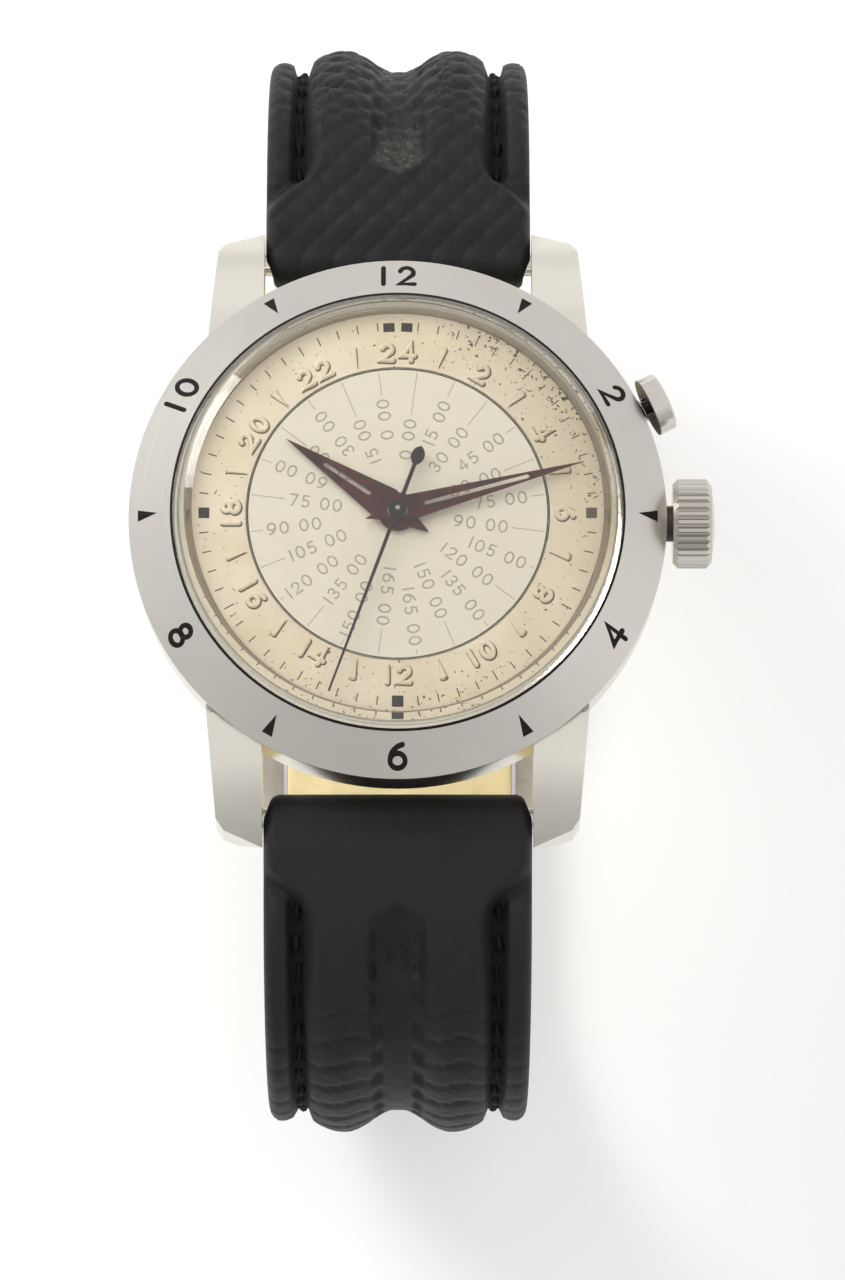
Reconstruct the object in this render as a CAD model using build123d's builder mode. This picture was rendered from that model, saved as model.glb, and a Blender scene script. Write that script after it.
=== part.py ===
from build123d import *
import os
from math import atan2, cos, degrees, hypot, pi, radians, sin

os.makedirs("parts", exist_ok=True)

# World time wristwatch on a closed strap, in millimetres.
# The origin is the centre of the case back's outer face. +Z points out of the dial,
# +Y points to 12 o'clock and +X points to the crown at 3 o'clock.

# Fits shared by the whole watch
press_gap = 0.02
running_gap = 0.04
free_gap = 0.1
overrun = 1.0

# Case
case_radius = 18.0
flank_inset = 0.15
bezel_edge_height = 7.2
bezel_rim = 0.2
bezel_rise = 1.86
crystal_seat_radius = 15.04
collar_wall = 0.66
collar_height = 1.1
flank_height = 3.1
belly_radius = 16.7
back_seat_radius = 16.0
back_seat_height = 1.3
cavity_radius = 14.4
cavity_low = 2.6
crystal_ledge_height = 7.75

# Lugs and spring bars
strap_width = 18.0
lug_gap = 0.05
lug_thickness = 3.7
lug_tip_reach = 21.45
lug_tip_slant = 1.15
lug_root_reach = 11.0
lug_tip_taper = 0.6
lug_facet_reach = 20.65
lug_facet_height = 2.95
lug_tip_top = 2.1
lug_tip_bottom = 0.2
lug_shoulder_reach = 13.2
lug_shoulder_height = 6.3
lug_arch_reach = 18.2
lug_arch_height = 4.75
lug_belly_height = 1.4
lug_corner_cut = 0.5
spring_bar_reach = 19.4
spring_bar_height = 1.74
spring_bar_radius = 0.75
spring_bar_pivot_radius = 0.4
spring_bar_pivot_length = 1.0

# Case back
back_wall = 0.85
back_flat_radius = 12.5
back_flange_height = 0.9
back_skirt_radius = 14.95
back_skirt_wall = 0.7
back_skirt_height = 2.4
back_notch_count = 6
back_notch_width = 2.0
back_notch_depth = 0.9
gasket_width = 0.6

# Crystal and reflector ring
crystal_wall = 0.56
crystal_shoulder_radius = 14.25
crystal_shoulder_height = 10.3
crystal_top_height = 11.3
crystal_thickness = 0.85
reflector_height = 0.85
reflector_width = 0.6
reflector_lip = 0.25

# Crown and stem
crown_radius = 3.0
crown_length = 2.6
crown_cap = 0.25
crown_cap_share = 0.75
crown_chamfer = 0.35
crown_flutes = 33
flute_depth = 0.22
crown_inner_reach = 18.4
crown_axis_height = 5.7
crown_travel = 1.0
tube_radius = 1.2
tube_wall = 0.4
tube_inner_reach = 14.9
tube_outer_reach = 19.3
stem_radius = 0.5
stem_inner_reach = 7.9
stem_grip = 0.9

# Pusher
pusher_angle = 25.7
pusher_radius = 2.0
pusher_head_reach = 18.65
pusher_head_length = 1.25
pusher_crown = 0.12
pusher_travel = 0.6
pusher_stem_radius = 0.45
pusher_stem_reach = 12.9
pusher_tube_radius = 1.15
pusher_tube_wall = 0.2
pusher_tube_outer_reach = 17.95
pusher_shoulder_reach = 16.2
pusher_spring_wire = 0.09
pusher_spring_radius = 0.72
pusher_spring_turns = 5

# Dial
dial_radius = 14.3
dial_thickness = 0.4
dial_top = 8.1
dial_foot_radius = 0.35
dial_foot_place_radius = 12.5
dial_foot_angles = (105, 250)
disc_radius = 10.06
disc_thickness = 0.25
disc_drop = 0.04
disc_edge_gap = 0.08
hour_mark_relief = 0.08
hour_mark_inner = 10.46
hour_mark_length = 1.45
hour_mark_width = 0.45
hour_marks = 12

# Hands
hour_hand_length = 8.95
hour_hand_width = 2.4
hour_hand_tail = 2.5
hour_hand_angle = 304.1
hour_hand_height = 8.35
minute_hand_length = 12.85
minute_hand_width = 1.75
minute_hand_tail = 2.2
minute_hand_angle = 74.8
minute_hand_height = 8.7
seconds_hand_length = 13.3
seconds_hand_width = 0.26
seconds_tip_width = 0.13
seconds_tail_length = 4.6
seconds_leaf_width = 0.9
seconds_leaf_length = 1.3
seconds_leaf_share = 0.45
seconds_hand_angle = 200.0
seconds_hand_height = 9.05
seconds_boss_height = 0.4
seconds_boss_radius = 0.62
seconds_pin_rise = 0.06
hand_thickness = 0.15
hand_slot_width = 0.3
hand_slot_start = 1.15
hour_slot_end = 5.95
minute_slot_end = 9.07
hour_widest = 0.9
minute_widest = 0.7
hand_collet_wall = 0.3

# Centre axis, from the inside out
seconds_arbor_radius = 0.15
centre_tube_inner = 0.2
centre_tube_outer = 0.4
cannon_outer = 0.66
hour_pipe_outer = 1.0
city_pipe_outer = 1.35

# Levels of the movement, each the lower face of its piece
weight_low = 1.15
weight_thickness = 0.85
auto_bridge_low = 2.1
auto_bridge_thickness = 0.35
ratchet_low = 2.62
ratchet_thickness = 0.28
bridge_low = 2.95
bridge_thickness = 0.35
third_wheel_low = 3.42
balance_low = 3.4
balance_thickness = 0.35
drum_low = 3.35
drum_height = 0.8
fourth_wheel_low = 3.87
centre_wheel_low = 4.25
escape_wheel_low = 4.3
wheel_thickness = 0.18
pinion_overhang = 0.08
plate_low = 4.7
plate_thickness = 1.55
plate_radius = 13.5
cock_thickness = 0.3
hairspring_gap = 0.12
hairspring_height = 0.14
balance_opening_gap = 0.3
pivot_depth = 0.3

# Gear counts and modules
barrel_teeth = 72
centre_pinion_teeth = 12
barrel_module = 0.15
centre_teeth = 80
third_pinion_teeth = 10
centre_module = 0.12
third_teeth = 75
fourth_pinion_teeth = 10
third_module = 0.12
fourth_teeth = 80
escape_pinion_teeth = 8
fourth_module = 0.08
escape_teeth = 15
escape_radius = 1.9
cannon_teeth = 12
minute_wheel_teeth = 36
motion_module = 0.15
minute_pinion_teeth = 10
hour_wheel_teeth = 40
transfer_teeth = 30
transfer_pinion_teeth = 20
city_wheel_teeth = 40
setting_teeth = 16
ratchet_teeth = 50
crown_wheel_teeth = 30
winding_teeth = 10
crown_peg_count = 14

# Wheel windows, as a count and the shares of the radius where they start and end
centre_windows = (5, 0.32, 0.85)
third_windows = (5, 0.3, 0.84)
fourth_windows = (4, 0.25, 0.84)
escape_windows = (4, 0.2, 0.62)

# Escape tooth, as shares of the radius and of the pitch
escape_tooth_shares = ((0.74, 0), (1.0, 0.3), (0.97, 0.42), (0.74, 0.4))

# Tooth form, as shares of the module and of the pitch
addendum_share = 0.8
dedendum_share = 1.25
root_share = 0.25
pitch_share = 0.19
tip_share = 0.09

# Where the wheels stand, as angles from 3 o'clock
barrel_angle = -60.0
third_angle = 150.0
fourth_bearing = -105.0
escape_bearing = -70.0
balance_radius_from_centre = 10.3
balance_angle = 204.0
minute_wheel_angle = -25.0
transfer_angle = 115.0

# Balance, fork and small pieces of the train
balance_radius = 2.8
balance_rim = 0.35
balance_arm = 0.4
staff_radius = 0.12
arbor_radius = 0.2
roller_radius = 0.55
impulse_pin_radius = 0.06
impulse_pin_place = 0.35
fork_arm = 0.3
fork_span = 1.5
fork_clearance = 0.22
barrel_rim = 0.3
barrel_arbor_radius = 1.2
mainspring_strip = 0.14
mainspring_turns = 5
spiral_steps = 24
hairspring_strip = 0.05
hairspring_turns = 7
hairspring_radius = 1.6
jewel_radius = 0.5
screw_head_radius = 0.75
screw_head_height = 0.3
screw_slot_width = 0.18
screw_shank_radius = 0.35

# Bridge feet, as angles round the plate
foot_width = 2.0
foot_reach = 13.2
train_split = 0.9
barrel_split = 1.2
train_feet = ((100, 60), (236, 24))
barrel_foot_width = 1.0
barrel_feet = ((-82, 57), (40, 38))
cock_foot = (171, 12)
cock_foot_margin = 3
cock_width = 2.6
auto_foot_place = (6.5, 7.5)
auto_bridge_width = 3.0
auto_hub_radius = 2.2
auto_foot_radius = 0.9
screw_places = ((12.2, 110), (12.2, 150), (12.2, 248), (12.55, -35), (12.55, -78), (12.2, 60))
cock_screw_place = (12.3, 177)
plate_window_half = 1.45
plate_window_margin = 0.2

# Levers
lever_thickness = 0.2
lever_width = 0.7
lever_post_radius = 0.35
setting_lever_reach = 11.65
setting_lever_arm = 3.5
setting_pin_radius = 0.15
setting_slot_width = 0.6
stem_groove_width = 0.5
stem_groove_depth = 0.15
corrector_pivot = (11.3, 50)
corrector_beak_angle = 40
corrector_beak_gap = 0.45
corrector_tab_width = 0.5
corrector_tab_thickness = 0.4
corrector_window_margin = 1.0
corrector_gap = 0.1
click_width = 0.5
click_bearings = (-95, -70)
click_gap = 0.15

# Oscillating weight and its buffers
weight_radius = 12.7
weight_rim_width = 3.6
weight_sweep = 120.0
weight_hub_radius = 1.7
weight_arm_width = 5.0
weight_arm_thickness = 0.35
weight_swing = 58.0
weight_post_radius = 0.8
buffer_radius = 0.34
buffer_wire = 0.07
buffer_turns = 6
buffer_post_radius = 0.4
buffer_height = 1.75
buffer_length = 1.7
buffer_place_radius = 6.6

# Winding pieces on the stem
winding_pinion_radius = 1.3
winding_pinion_place = 10.25
winding_pinion_length = 0.7
winding_tooth_depth = 0.3
crown_peg_place = 1.75
crown_peg_size = 0.3
peg_disc_margin = 0.2
sliding_pinion_radius = 1.0
sliding_pinion_place = 9.05
sliding_pinion_length = 1.1
sliding_travel = 0.6
sliding_groove_depth = 0.3
sliding_groove_width = 0.35

# Strap, on a closed loop
strap_tip_width = 16.0
strap_first_run = 6.0
strap_first_drop = 6.0
strap_side_radius = 11.5
strap_side_turn = 99.0
strap_side_run = 18.0
strap_corner_radius = 14.0
strap_corner_turn = 75.0
strap_bend_radius = 16.0
tail_turn = 75.0
lining_thickness = 0.9
cover_thickness = 1.2
strap_taper_depth = 4.8
lining_offset = -1.0
ridge_height = 1.0
ridge_step = 0.6
ridge_inner_edge = 1.35
ridge_outer_edge = 5.4
pad_rise = 0.5
pad_turn = 5.0
strap_gap = 0.15

# Keepers and buckle
keeper_thickness = 1.0
keeper_width = 3.5
fixed_keeper_place = 6.2
free_keeper_place = 13.3
buckle_bar_place = 4.5
buckle_bar_radius = 0.7
buckle_pivot_radius = 0.35
buckle_outer_bar_radius = 0.85
buckle_outer_bar_place = -8.2
buckle_wire = 1.5
buckle_side_gap = 0.35
tang_width = 1.8
tang_thickness = 0.9
tang_bend_place = -7.0
tang_ring_radius = 1.1
tang_slot_reach = 2.2
tang_slot_length = 7.2
tang_slot_middle = -0.3
tang_slot_width = 2.5


def polar(radius, angle):
    """A point at a radius and an angle in degrees from 3 o'clock."""
    return (radius * cos(radians(angle)), radius * sin(radians(angle)))


def step_from(start, distance, bearing):
    """The point a distance away from a start, along a bearing in degrees."""
    return (start[0] + distance * cos(radians(bearing)), start[1] + distance * sin(radians(bearing)))


def bearing_between(first, second):
    """The bearing from one point to another, in degrees."""
    return degrees(atan2(second[1] - first[1], second[0] - first[0]))


def mesh_phase(teeth, phase, other_teeth, bearing):
    """The phase that puts a wheel in mesh with another, seen along the bearing to it."""
    pitch = 360 / teeth
    other_pitch = 360 / other_teeth
    share = (bearing - phase) / pitch
    return bearing + 180 - other_pitch * (0.5 - share)


def upright(place):
    """A vertical axis through a point of the dial plane."""
    return Plane(origin=(place[0], place[1], 0))


def gear_outline(teeth, module, phase):
    """Points round a toothed wheel, with one tooth centred on the phase angle."""
    pitch_radius = teeth * module / 2
    levels = (
        (pitch_radius - dedendum_share * module, -root_share),
        (pitch_radius, -pitch_share),
        (pitch_radius + addendum_share * module, -tip_share),
        (pitch_radius + addendum_share * module, tip_share),
        (pitch_radius, pitch_share),
        (pitch_radius - dedendum_share * module, root_share),
    )
    points = []
    for tooth in range(teeth):
        for radius, share in levels:
            points.append(polar(radius, phase + (tooth + share) * 360 / teeth))
    return points


def outline_part(plane, low, height, points):
    """A prism with a closed outline, from a level along a plane's normal."""
    with BuildPart() as prism:
        with BuildSketch(plane.offset(low)):
            with BuildLine():
                Polyline(*points, close=True)
            make_face()
        extrude(amount=height)
    return prism.part


def gear_part(place, teeth, module, phase, low, height):
    """A toothed wheel or pinion on a vertical axis."""
    return outline_part(upright(place), low, height, gear_outline(teeth, module, phase))


def turned(plane, steps):
    """Round steps (radius, low, high) along a plane's normal."""
    with BuildPart() as stack:
        for radius, low, high in steps:
            with BuildSketch(plane.offset(low)):
                Circle(radius)
            extrude(amount=high - low)
    return stack.part


def rod(place, radius, low, high):
    """A round rod on a vertical axis, from one level to another."""
    return turned(upright(place), [(radius, low, high)])


def windows_cut(place, radius, low, windows):
    """Round windows between the arms of a wheel."""
    count, inner_share, outer_share = windows
    middle = radius * (inner_share + outer_share) / 2
    with BuildPart() as openings:
        with BuildSketch(upright(place).offset(low - overrun)):
            with PolarLocations(middle, count):
                Circle(radius * (outer_share - inner_share) / 2)
        extrude(amount=wheel_thickness + 2 * overrun)
    return openings.part


def ring_sector(inner, outer, start, sweep, low, height):
    """A flat sector of a ring about the centre axis."""
    with BuildPart() as sector:
        with BuildSketch(Plane.XY.offset(low)):
            with BuildLine():
                CenterArc((0, 0), outer, start, sweep)
                Line(polar(outer, start + sweep), polar(inner, start + sweep))
                CenterArc((0, 0), inner, start + sweep, -sweep)
                Line(polar(inner, start), polar(outer, start))
            make_face()
        extrude(amount=height)
    return sector.part


def spiral_strip(place, start_radius, end_radius, turns, strip, low, height):
    """A flat spiral spring of square strip."""
    outer = []
    inner = []
    total = turns * spiral_steps
    for index in range(total + 1):
        radius = start_radius + (end_radius - start_radius) * index / total
        angle = 360 * index / spiral_steps
        outer.append(step_from((0, 0), radius + strip / 2, angle))
        inner.append(step_from((0, 0), radius - strip / 2, angle))
    return outline_part(upright(place), low, height, outer + inner[::-1])


def bar_between(first, second, width, low, height):
    """A flat bar with round ends between two points of the dial plane."""
    middle = ((first[0] + second[0]) / 2, (first[1] + second[1]) / 2)
    length = hypot(second[0] - first[0], second[1] - first[1])
    with BuildPart() as bar:
        with BuildSketch(upright(middle).offset(low)):
            SlotCenterToCenter(length, width, rotation=bearing_between(first, second))
        extrude(amount=height)
    return bar.part


# Places of the wheels
centre_place = (0, 0)
barrel_distance = barrel_module * (barrel_teeth + centre_pinion_teeth) / 2
barrel_place = polar(barrel_distance, barrel_angle)
third_distance = centre_module * (centre_teeth + third_pinion_teeth) / 2
third_place = polar(third_distance, third_angle)
fourth_distance = third_module * (third_teeth + fourth_pinion_teeth) / 2
fourth_place = step_from(third_place, fourth_distance, fourth_bearing)
escape_distance = fourth_module * (fourth_teeth + escape_pinion_teeth) / 2
escape_place = step_from(fourth_place, escape_distance, escape_bearing)
balance_place = polar(balance_radius_from_centre, balance_angle)
line_of_escapement = bearing_between(escape_place, balance_place)
pallet_place = step_from(escape_place, escape_radius + fork_clearance + fork_arm, line_of_escapement)
minute_distance = motion_module * (cannon_teeth + minute_wheel_teeth) / 2
minute_place = polar(minute_distance, minute_wheel_angle)
hour_module = 2 * minute_distance / (minute_pinion_teeth + hour_wheel_teeth)
transfer_module = 2 * minute_distance / (transfer_teeth + transfer_teeth)
transfer_place = polar(minute_distance, transfer_angle)
city_module = 2 * minute_distance / (transfer_pinion_teeth + city_wheel_teeth)
setting_distance = motion_module * (minute_wheel_teeth + setting_teeth) / 2
setting_bearing = degrees(atan2(-minute_place[1], (setting_distance ** 2 - minute_place[1] ** 2) ** 0.5))
setting_place = step_from(minute_place, setting_distance, setting_bearing)
crown_wheel_place = (winding_pinion_place + winding_pinion_length / 2 - crown_peg_place, 0)
winding_distance = hypot(crown_wheel_place[0] - barrel_place[0], crown_wheel_place[1] - barrel_place[1])
winding_bearing = bearing_between(barrel_place, crown_wheel_place)
sweep_module = 2 * third_distance / (third_teeth + fourth_pinion_teeth)
ratchet_module = 2 * winding_distance / (ratchet_teeth + crown_wheel_teeth)

# Phases that put the wheels in mesh at rest
centre_phase = mesh_phase(barrel_teeth, 0, centre_pinion_teeth, barrel_angle + 180)
third_phase = mesh_phase(centre_teeth, 0, third_pinion_teeth, third_angle)
fourth_phase = mesh_phase(third_teeth, 0, fourth_pinion_teeth, fourth_bearing)
escape_phase = mesh_phase(fourth_teeth, 0, escape_pinion_teeth, escape_bearing)
sweep_phase = mesh_phase(third_teeth, 0, fourth_pinion_teeth, third_angle + 180)
minute_phase = mesh_phase(cannon_teeth, 0, minute_wheel_teeth, minute_wheel_angle)
hour_phase = mesh_phase(minute_pinion_teeth, 0, hour_wheel_teeth, minute_wheel_angle + 180)
transfer_phase = mesh_phase(transfer_teeth, 0, transfer_teeth, transfer_angle)
city_phase = mesh_phase(transfer_pinion_teeth, 0, city_wheel_teeth, transfer_angle + 180)
setting_phase = mesh_phase(minute_wheel_teeth, minute_phase, setting_teeth, setting_bearing)
crown_wheel_phase = mesh_phase(ratchet_teeth, 0, crown_wheel_teeth, winding_bearing)

# Levels worked out from those above
plate_top = plate_low + plate_thickness
bridge_top = bridge_low + bridge_thickness
dial_low = dial_top - dial_thickness
disc_top = dial_top - disc_drop
disc_low = disc_top - disc_thickness
cannon_low = plate_top + free_gap
minute_wheel_low = plate_top + free_gap + pinion_overhang
hour_wheel_low = minute_wheel_low + wheel_thickness + 2 * free_gap
transfer_low = hour_wheel_low + wheel_thickness + free_gap
city_wheel_low = transfer_low + wheel_thickness + free_gap
weight_top = weight_low + weight_thickness
collar_radius = crystal_seat_radius + collar_wall
collar_top = bezel_edge_height - bezel_rim + collar_height
bezel_low = bezel_edge_height - bezel_rim
bezel_top = bezel_edge_height + bezel_rise
flank_radius = case_radius - flank_inset
flank_low = bezel_low - flank_height
pusher_axis = Plane(
    origin=(0, 0, crown_axis_height),
    x_dir=(-sin(radians(pusher_angle)), cos(radians(pusher_angle)), 0),
    z_dir=(cos(radians(pusher_angle)), sin(radians(pusher_angle)), 0),
)
stem_axis = Plane(origin=(0, 0, crown_axis_height), x_dir=(0, 1, 0), z_dir=(1, 0, 0))
lug_inner = strap_width / 2 + lug_gap
lug_outer = lug_inner + lug_thickness

# Mid case: a turned body with four lugs whose ends slant back outwards, open below for the movement
lug_corner = lug_outer - lug_tip_taper
lug_slope = lug_tip_slant / (lug_corner - lug_inner)
with BuildPart() as mid_case:
    for side in (-1, 1):
        for end in (-1, 1):
            with BuildSketch(Plane.YZ.offset(side * lug_inner if side > 0 else -lug_outer)):
                with BuildLine():
                    Polyline(
                        (end * lug_facet_reach, lug_facet_height),
                        (end * lug_tip_reach, lug_tip_top),
                        (end * (lug_tip_reach - lug_tip_taper), lug_tip_bottom),
                        (end * lug_root_reach, lug_belly_height),
                        (end * lug_root_reach, lug_shoulder_height),
                        (end * lug_shoulder_reach, lug_shoulder_height),
                    )
                    ThreePointArc(
                        (end * lug_shoulder_reach, lug_shoulder_height),
                        (end * lug_arch_reach, lug_arch_height),
                        (end * lug_facet_reach, lug_facet_height),
                    )
                make_face()
            extrude(amount=lug_thickness)
    for side in (-1, 1):
        for end in (-1, 1):
            with BuildSketch(Plane.XY.offset(-overrun)):
                with BuildLine():
                    Polyline(
                        (side * lug_outer, end * lug_shoulder_reach),
                        (side * lug_corner, end * (lug_tip_reach - lug_tip_slant - lug_corner_cut)),
                        (
                            side * (lug_corner - lug_corner_cut),
                            end * (lug_tip_reach - lug_tip_slant + lug_slope * lug_corner_cut),
                        ),
                        (side * (lug_inner - lug_gap), end * (lug_tip_reach + lug_slope * lug_gap)),
                        (side * (lug_inner - lug_gap), end * (lug_tip_reach + overrun)),
                        (side * (lug_outer + overrun), end * (lug_tip_reach + overrun)),
                        (side * (lug_outer + overrun), end * lug_shoulder_reach),
                        close=True,
                    )
                make_face()
            extrude(amount=lug_shoulder_height + 2 * overrun, mode=Mode.SUBTRACT)
    with BuildSketch(Plane.XZ):
        with BuildLine():
            Polyline(
                (0, back_seat_height),
                (back_seat_radius, back_seat_height),
                (belly_radius, back_seat_height + (belly_radius - back_seat_radius)),
                (flank_radius, flank_low),
                (flank_radius, bezel_low),
                (collar_radius, bezel_low),
                (collar_radius, collar_top),
                (0, collar_top),
                close=True,
            )
        make_face()
    revolve(axis=Axis.Z)
    with BuildSketch(Plane.XZ):
        with BuildLine():
            Polyline(
                (0, -overrun),
                (back_skirt_radius + 2 * running_gap, -overrun),
                (back_skirt_radius + 2 * running_gap, cavity_low),
                (cavity_radius, cavity_low),
                (cavity_radius, crystal_ledge_height),
                (crystal_seat_radius, crystal_ledge_height),
                (crystal_seat_radius, collar_top + overrun),
                (0, collar_top + overrun),
                close=True,
            )
        make_face()
    revolve(axis=Axis.Z, mode=Mode.SUBTRACT)
    with BuildSketch(Plane.XY.offset(-overrun)):
        Circle(back_seat_radius + press_gap)
    extrude(amount=back_seat_height + overrun, mode=Mode.SUBTRACT)
    add(
        turned(stem_axis, [(tube_radius + press_gap, 0, case_radius + overrun)]),
        mode=Mode.SUBTRACT,
    )
    add(
        turned(pusher_axis, [(pusher_tube_radius + press_gap, 0, case_radius + overrun)]),
        mode=Mode.SUBTRACT,
    )
    with BuildSketch(Plane.YZ.offset(-lug_inner - spring_bar_pivot_length)):
        with Locations((-spring_bar_reach, spring_bar_height), (spring_bar_reach, spring_bar_height)):
            Circle(spring_bar_pivot_radius + press_gap)
    extrude(amount=2 * (lug_inner + spring_bar_pivot_length), mode=Mode.SUBTRACT)
mid_case.part.label = "mid_case"
export_step(mid_case.part, "parts/mid_case.step")

# Bezel: a sloped ring that snaps round the collar
bezel_lip_radius = crystal_seat_radius + running_gap
with BuildPart() as bezel:
    with BuildSketch(Plane.XZ):
        with BuildLine():
            Polyline(
                (collar_radius + press_gap, bezel_low + press_gap),
                (case_radius, bezel_low + press_gap),
                (case_radius, bezel_edge_height),
                (bezel_lip_radius, bezel_top),
                (bezel_lip_radius, collar_top + press_gap),
                (collar_radius + press_gap, collar_top + press_gap),
                close=True,
            )
        make_face()
    revolve(axis=Axis.Z)
bezel.part.label = "bezel"
export_step(bezel.part, "parts/bezel.step")

# Crystal: domed acrylic with a steep side wall
def dome_height(reach, rim_radius, top, rise):
    """Height of a shallow dome at a reach from its axis."""
    ball = (rim_radius ** 2 + rise ** 2) / (2 * rise)
    return top - ball + (ball ** 2 - reach ** 2) ** 0.5


crystal_radius = crystal_seat_radius - press_gap
crystal_low = crystal_ledge_height + press_gap
crystal_inner_shoulder = crystal_shoulder_radius - crystal_wall
dome_rise = crystal_top_height - crystal_shoulder_height
with BuildPart() as crystal:
    with BuildSketch(Plane.XZ):
        with BuildLine():
            Line((0, crystal_top_height - crystal_thickness), (0, crystal_top_height))
            ThreePointArc(
                (0, crystal_top_height),
                (
                    crystal_shoulder_radius / 2,
                    dome_height(
                        crystal_shoulder_radius / 2, crystal_shoulder_radius, crystal_top_height, dome_rise
                    ),
                ),
                (crystal_shoulder_radius, crystal_shoulder_height),
            )
            Polyline(
                (crystal_shoulder_radius, crystal_shoulder_height),
                (crystal_radius, bezel_top),
                (crystal_radius, crystal_low),
                (crystal_radius - crystal_wall, crystal_low),
                (crystal_radius - crystal_wall, bezel_top),
                (crystal_inner_shoulder, crystal_shoulder_height - crystal_thickness),
            )
            ThreePointArc(
                (crystal_inner_shoulder, crystal_shoulder_height - crystal_thickness),
                (
                    crystal_inner_shoulder / 2,
                    dome_height(
                        crystal_inner_shoulder / 2, crystal_inner_shoulder,
                        crystal_top_height - crystal_thickness, dome_rise,
                    ),
                ),
                (0, crystal_top_height - crystal_thickness),
            )
        make_face()
    revolve(axis=Axis.Z)
crystal.part.label = "crystal"
export_step(crystal.part, "parts/crystal.step")

# Reflector ring: bright metal band that keeps the crystal's wall from shrinking inwards
reflector_radius = crystal_radius - crystal_wall - press_gap
reflector_low = dial_top + press_gap
with BuildPart() as reflector_ring:
    with BuildSketch(Plane.XZ):
        with BuildLine():
            Polyline(
                (reflector_radius, reflector_low),
                (reflector_radius, reflector_low + reflector_height),
                (reflector_radius - reflector_lip, reflector_low + reflector_height),
                (reflector_radius - reflector_width, reflector_low),
                close=True,
            )
        make_face()
    revolve(axis=Axis.Z)
reflector_ring.part.label = "reflector_ring"
export_step(reflector_ring.part, "parts/reflector_ring.step")

# Case back: screwed disc with key notches and a skirt
with BuildPart() as case_back:
    with BuildSketch(Plane.XZ):
        with BuildLine():
            Polyline(
                (0, 0),
                (back_flat_radius, 0),
                (back_seat_radius, back_flange_height - gasket_width),
                (back_seat_radius, back_seat_height - press_gap),
                (back_skirt_radius, back_seat_height - press_gap),
                (back_skirt_radius, back_skirt_height),
                (back_skirt_radius - back_skirt_wall, back_skirt_height),
                (back_flat_radius, back_wall),
                (0, back_wall),
                close=True,
            )
        make_face()
    revolve(axis=Axis.Z)
    with BuildSketch(Plane.XY.offset(-overrun)):
        with PolarLocations(back_seat_radius, back_notch_count):
            Rectangle(2 * back_notch_depth, back_notch_width)
    extrude(amount=overrun + back_flange_height, mode=Mode.SUBTRACT)
case_back.part.label = "case_back"
export_step(case_back.part, "parts/case_back.step")

# Case back gasket: a flat ring between the skirt's end and the case's inner step
with BuildPart() as case_back_gasket:
    with BuildSketch(Plane.XY.offset(back_skirt_height + press_gap)):
        Circle(back_skirt_radius)
        Circle(back_skirt_radius - gasket_width, mode=Mode.SUBTRACT)
    extrude(amount=cavity_low - back_skirt_height - 2 * press_gap)
case_back_gasket.part.label = "case_back_gasket"
export_step(case_back_gasket.part, "parts/case_back_gasket.step")

# Casing ring: holds the movement in the case, notched for the stem and the pusher
casing_ring_radius = cavity_radius - press_gap
casing_ring_low = cavity_low + free_gap
with BuildPart() as casing_ring:
    with BuildSketch(Plane.XY.offset(casing_ring_low)):
        Circle(casing_ring_radius)
        Circle(plate_radius + press_gap, mode=Mode.SUBTRACT)
    extrude(amount=dial_low - press_gap - casing_ring_low)
    add(
        turned(stem_axis, [(tube_radius, plate_radius - overrun, casing_ring_radius + overrun)]),
        mode=Mode.SUBTRACT,
    )
    add(
        turned(pusher_axis, [(pusher_tube_radius, plate_radius - overrun, casing_ring_radius + overrun)]),
        mode=Mode.SUBTRACT,
    )
casing_ring.part.label = "casing_ring"
export_step(casing_ring.part, "parts/casing_ring.step")

# Crown tube and pusher tube, pressed into the mid case
with BuildPart() as crown_tube:
    add(turned(stem_axis, [(tube_radius, tube_inner_reach, tube_outer_reach)]))
    add(
        turned(stem_axis, [(tube_radius - tube_wall, 0, tube_outer_reach + overrun)]),
        mode=Mode.SUBTRACT,
    )
crown_tube.part.label = "crown_tube"
export_step(crown_tube.part, "parts/crown_tube.step")

with BuildPart() as pusher_tube:
    add(turned(pusher_axis, [(pusher_tube_radius, tube_inner_reach, pusher_tube_outer_reach)]))
    add(
        turned(
            pusher_axis,
            [
                (pusher_stem_radius + running_gap, 0, pusher_shoulder_reach + overrun),
                (pusher_tube_radius - pusher_tube_wall, pusher_shoulder_reach, case_radius + overrun),
            ],
        ),
        mode=Mode.SUBTRACT,
    )
pusher_tube.part.label = "pusher_tube"
export_step(pusher_tube.part, "parts/pusher_tube.step")

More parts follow.
